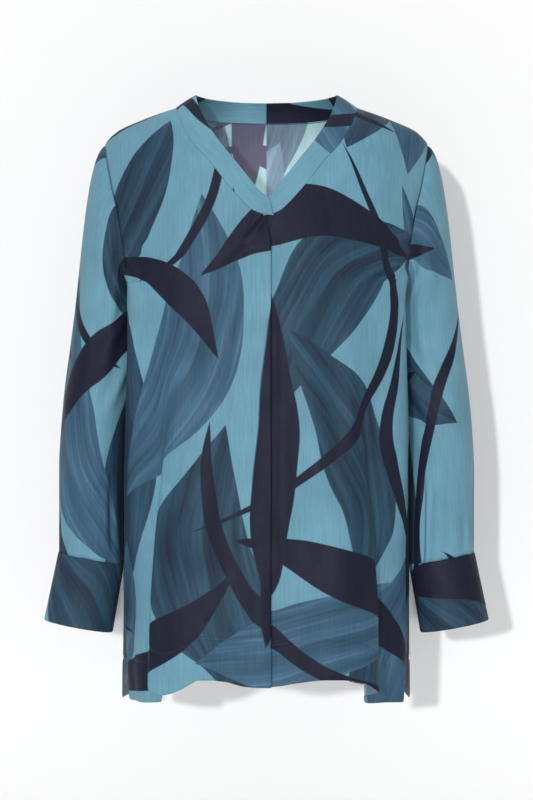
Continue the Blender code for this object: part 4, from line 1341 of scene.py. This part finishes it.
def painted_leaves():
    """A node group that gives the print's tone, from teal to navy, and how evenly the dye took."""
    group = bpy.data.node_groups.new("painted leaves", "ShaderNodeTree")
    group.interface.new_socket("Tone", in_out="OUTPUT", socket_type="NodeSocketFloat")
    group.interface.new_socket("Evenness", in_out="OUTPUT", socket_type="NodeSocketFloat")
    flat = add(group, "ShaderNodeUVMap", uv_map="cloth").outputs[0]
    # The outlines waver by several millimetres, as a hand's do.
    wobble = add(group, "ShaderNodeTexNoise", {"Vector": flat, "Scale": HAND_SCALE, "Detail": 1.0})
    centred = reckon_places(group, "SUBTRACT", wobble.outputs["Color"], (0.5, 0.5, 0.5))
    place = reckon_places(group, "MULTIPLY_ADD", centred, HAND_WOBBLE, flat)
    ground = add(group, "ShaderNodeValue")
    ground.outputs[0].default_value = GROUND
    own_place, tone = place, ground.outputs[0]
    for motif in MOTIFS:
        own_place, tone = paint_motif(group, place, own_place, tone, motif)

    # Brush hairs leave streaks of a few millimetres along each leaf, within strokes of a few centimetres.
    hairs = noise(group, own_place, HAIR_GRAINS, 3.0)
    strokes = noise(group, own_place, STROKE_GRAINS, 2.0)
    both = reckon(group, "MULTIPLY_ADD", hairs, HAIR_SHARE, strokes)
    swing = spread(group, both, *STREAK_RANGE, -STREAK, STREAK)
    # The ground and the navy were printed flat, so the streaks fade out at both ends of the tone.
    painted = spread(group, tone, *STREAKS_COME)
    not_dark = spread(group, tone, *STREAKS_FADE, 1.0, DARK_STREAKS)
    share = reckon(group, "MULTIPLY", painted, not_dark)
    streaked = reckon(group, "MULTIPLY_ADD", swing, share, tone)
    # Dye takes unevenly over a few centimetres.
    cloud = add(group, "ShaderNodeTexNoise", {"Vector": place, "Scale": DYE_CLOUD_SCALE, "Detail": 3.0})
    evenness = spread(group, cloud.outputs[0], *NOISE_RANGE, *DYE_DEPTHS)
    add(group, "NodeGroupOutput", {0: streaked, 1: evenness})
    return group


leaves = painted_leaves()
print("print nodes", len(leaves.nodes))

# %% [markdown]
# ## Viscose
#
# Viscose is a regenerated cellulose fibre, here in a plain weave. Its threads are smooth, so the cloth has a
# soft broad sheen and stays matt between. The real threads stand 0.3 mm apart, which no render at this size
# can show, so the weave is drawn 1.8 mm apart and faintly. Its wrong side shows less dye, and its colours are
# also painted lighter, as painted light inside the blouse.

# %% Printed viscose
DYE_TONES = (0.08, 0.42, 0.70, 0.97)
THREAD_SPACING = 0.0018
# A wave texture at scale 1 has this many radians in a metre.
WAVE_RADIANS = 20
# The roughness where crumples rub the cloth smoothest and roughest
RUBBED_ROUGHNESS = (0.53, 0.64)
CRUMPLE_GRAINS = (60.0, 22.0, 1.0)
SLUB_GRAINS, SLUB_DEPTHS = (640.0, 26.0, 1.0), (0.91, 1.09)


def viscose(name, dyes):
    """Printed viscose cloth in four dyes, from the ground colour to the darkest."""
    material, tree, shader = new_material(name)
    design = add(tree, "ShaderNodeGroup", node_tree=leaves)
    tint = add(tree, "ShaderNodeValToRGB", {"Fac": design.outputs["Tone"]})
    stops = tint.color_ramp.elements
    while len(stops) < len(dyes):
        stops.new(0.5)
    for stop, position, dye in zip(stops, DYE_TONES, dyes):
        stop.position, stop.color = position, dye
    flat = add(tree, "ShaderNodeUVMap", uv_map="cloth").outputs[0]
    thread_scale = 2 * math.pi / WAVE_RADIANS / THREAD_SPACING
    warp, weft = (
        add(
            tree, "ShaderNodeTexWave",
            {"Vector": flat, "Scale": thread_scale, "Distortion": 0.4}, bands_direction=direction,
        ).outputs["Fac"]
        for direction in ("X", "Y")
    )
    threads = reckon(tree, "ADD", warp, weft)
    thread_bump = add(tree, "ShaderNodeBump", {"Height": threads, "Strength": 0.10, "Distance": 0.0004})
    # Crumples, longer up the cloth than across it, rub the cloth a little smoother or rougher.
    crumple = noise(tree, flat, CRUMPLE_GRAINS, 4.0)
    bump = add(tree, "ShaderNodeBump", {
        "Height": crumple, "Strength": 0.35, "Distance": 0.0035, "Normal": thread_bump.outputs[0],
    })
    rub = spread(tree, crumple, *NOISE_RANGE, *RUBBED_ROUGHNESS)
    # Slubs: here and there a thread is thicker for a few centimetres and takes the dye differently.
    slub_light = spread(tree, noise(tree, flat, SLUB_GRAINS, 2.0), *NOISE_RANGE, *SLUB_DEPTHS)
    depth = reckon(tree, "MULTIPLY", slub_light, design.outputs["Evenness"])
    dyed = add(tree, "ShaderNodeVectorMath", {0: tint.outputs[0], "Scale": depth}, operation="SCALE")
    give(tree, shader, {
        "Base Color": dyed.outputs[0], "Roughness": rub, "Normal": bump.outputs[0], "IOR": 1.47,
        "Specular IOR Level": 0.14, "Sheen Weight": 0.02, "Sheen Roughness": 0.4,
    })
    return material


right_side = viscose("printed viscose right side", RIGHT_SIDE_DYES)
# The wrong side's colours hold painted light: they are lighter than its dye alone, for light inside the
# blouse.
wrong_side_with_painted_light = viscose("printed viscose wrong side with painted light", WRONG_SIDE_DYES_WITH_PAINTED_LIGHT)
for node, piece in pieces.items():
    # Cuffs and neckband are folded double, so the right side of the cloth shows inside them too.
    doubled = node.startswith(("cuff", "neckband"))
    piece.data.materials.append(right_side)
    piece.data.materials.append(right_side if doubled else wrong_side_with_painted_light)

# %% [markdown]
# ## Sewing thread
#
# The thread is spun polyester in a slate that sits between the print's colours. It is a little glossier than
# the cloth, and its ply shows as fine slanting lines, with painted shade in their grooves and a painted
# highlight on their ridges.

# %% Polyester thread
thread, tree, shader = new_material("spun polyester thread")
where = add(tree, "ShaderNodeTexCoord").outputs["Object"]
ply = add(
    tree, "ShaderNodeTexWave", {"Vector": where, "Scale": 900.0}, bands_direction="DIAGONAL"
).outputs["Fac"]
# Painted shade and highlight: the ply's grooves get the darker slate and its ridges the lighter one,
# following its bump.
ply_painted_shade = add(tree, "ShaderNodeMix", {0: ply, 6: colour("#41586B"), 7: colour("#5B7A8E")}, data_type="RGBA")
ply_bump = add(tree, "ShaderNodeBump", {"Height": ply, "Strength": 0.3, "Distance": 0.0002})
give(tree, shader, {
    "Base Color": ply_painted_shade.outputs[2], "Normal": ply_bump.outputs[0], "Roughness": 0.5, "IOR": 1.54,
})
for row in (front_stitches, *back_stitches.values()):
    row.data.materials.append(thread)

# %% [markdown]
# ## What stands for what
#
# Each piece of cloth stands for the solid of the same name and rides on the blouse's one body. Its rows of
# stitches ride with it.

# %% Riding and replacing
SEWN_WITH = {
    "front_panel": [front_stitches],
    "back_left": [back_stitches["left"]],
    "back_right": [back_stitches["right"]],
}
for node, piece in pieces.items():
    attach(piece, "root")
    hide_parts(node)
    sewn = SEWN_WITH.get(node, [])
    for row in sewn:
        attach(row, "root")

# %% [markdown]
# ## Floor, wall and light
#
# The blouse hangs in front of a pale wall that curves into a pale floor. A key light, a little above the
# camera and to its left, throws the shadow beside the blouse. A second light from straight in front, a small
# one down into the neck and the even white surroundings soften it. The wall is painted on its front alone and
# is clear from behind, so that the back of the blouse can be looked at through it.

# %% Stage
WALL_PLACE = 0.165
WALL_TOP = 2.2
FLOOR_HEIGHT = -1.02
FLOOR_FRONT = -4.0
CORNER = 0.08
CORNER_STEPS = 12
STAGE_HALF_WIDTH = 3.0
profile = [(FLOOR_FRONT, FLOOR_HEIGHT)]
for k in range(CORNER_STEPS + 1):
    a = math.pi / 2 * k / CORNER_STEPS
    profile.append((WALL_PLACE - CORNER + CORNER * math.sin(a), FLOOR_HEIGHT + CORNER - CORNER * math.cos(a)))
profile.append((WALL_PLACE, WALL_TOP))
points = [(x, y, z) for x in (-STAGE_HALF_WIDTH, STAGE_HALF_WIDTH) for y, z in profile]
faces = [(k, len(profile) + k, len(profile) + k + 1, k + 1) for k in range(len(profile) - 1)]
floor = mesh_object("floor_and_wall", points, faces)
paint, tree, shader = new_material("matt white wall paint")
give(tree, shader, {"Base Color": colour("#F4F4F4"), "Roughness": 0.9, "Specular IOR Level": 0.1})
clear = add(tree, "ShaderNodeBsdfTransparent")
face = add(tree, "ShaderNodeNewGeometry")
one_sided = add(tree, "ShaderNodeMixShader", {
    0: face.outputs["Backfacing"], 1: shader.outputs[0], 2: clear.outputs[0],
})
give(tree, tree.nodes["Material Output"], {"Surface": one_sided.outputs[0]})
floor.data.materials.append(paint)

# %% Lights
world = bpy.data.worlds.new("white surroundings")
bpy.context.scene.world = world
world.use_nodes = True
give(world.node_tree, world.node_tree.nodes["Background"], {"Color": (1.0, 1.0, 1.0, 1.0), "Strength": 0.29})


def far_light(name, strength, softness, down, from_left):
    """A far, even light from the front. softness, down and from_left are in degrees."""
    light = bpy.data.lights.new(name, "SUN")
    light.energy = strength
    light.angle = math.radians(softness)
    new_object(name, light).rotation_euler = (math.radians(90 - down), 0.0, math.radians(-from_left))


def narrow_light(name, power, cone, size, place, aim):
    """A light in front that shines straight back and down, from place to aim. cone is in degrees."""
    light = bpy.data.lights.new(name, "SPOT")
    light.energy = power
    light.spot_size = math.radians(cone)
    light.spot_blend = 1.0
    light.shadow_soft_size = size
    lamp = new_object(name, light)
    lamp.location = place
    pitch = math.atan2(aim[2] - place[2], aim[1] - place[1])
    lamp.rotation_euler = (math.pi / 2 + pitch, 0.0, 0.0)


far_light("key light", strength=1.27, softness=2.4, down=8.3, from_left=15.6)
far_light("fill light", strength=1.17, softness=8.0, down=0.0, from_left=0.0)
narrow_light("neck light", power=110.0, cone=7.0, size=0.10, place=(0.0, -1.3, 1.3), aim=(0.0, 0.06, -0.09))
bpy.context.scene.view_settings.view_transform = "Standard"
bpy.context.scene.view_settings.look = "None"
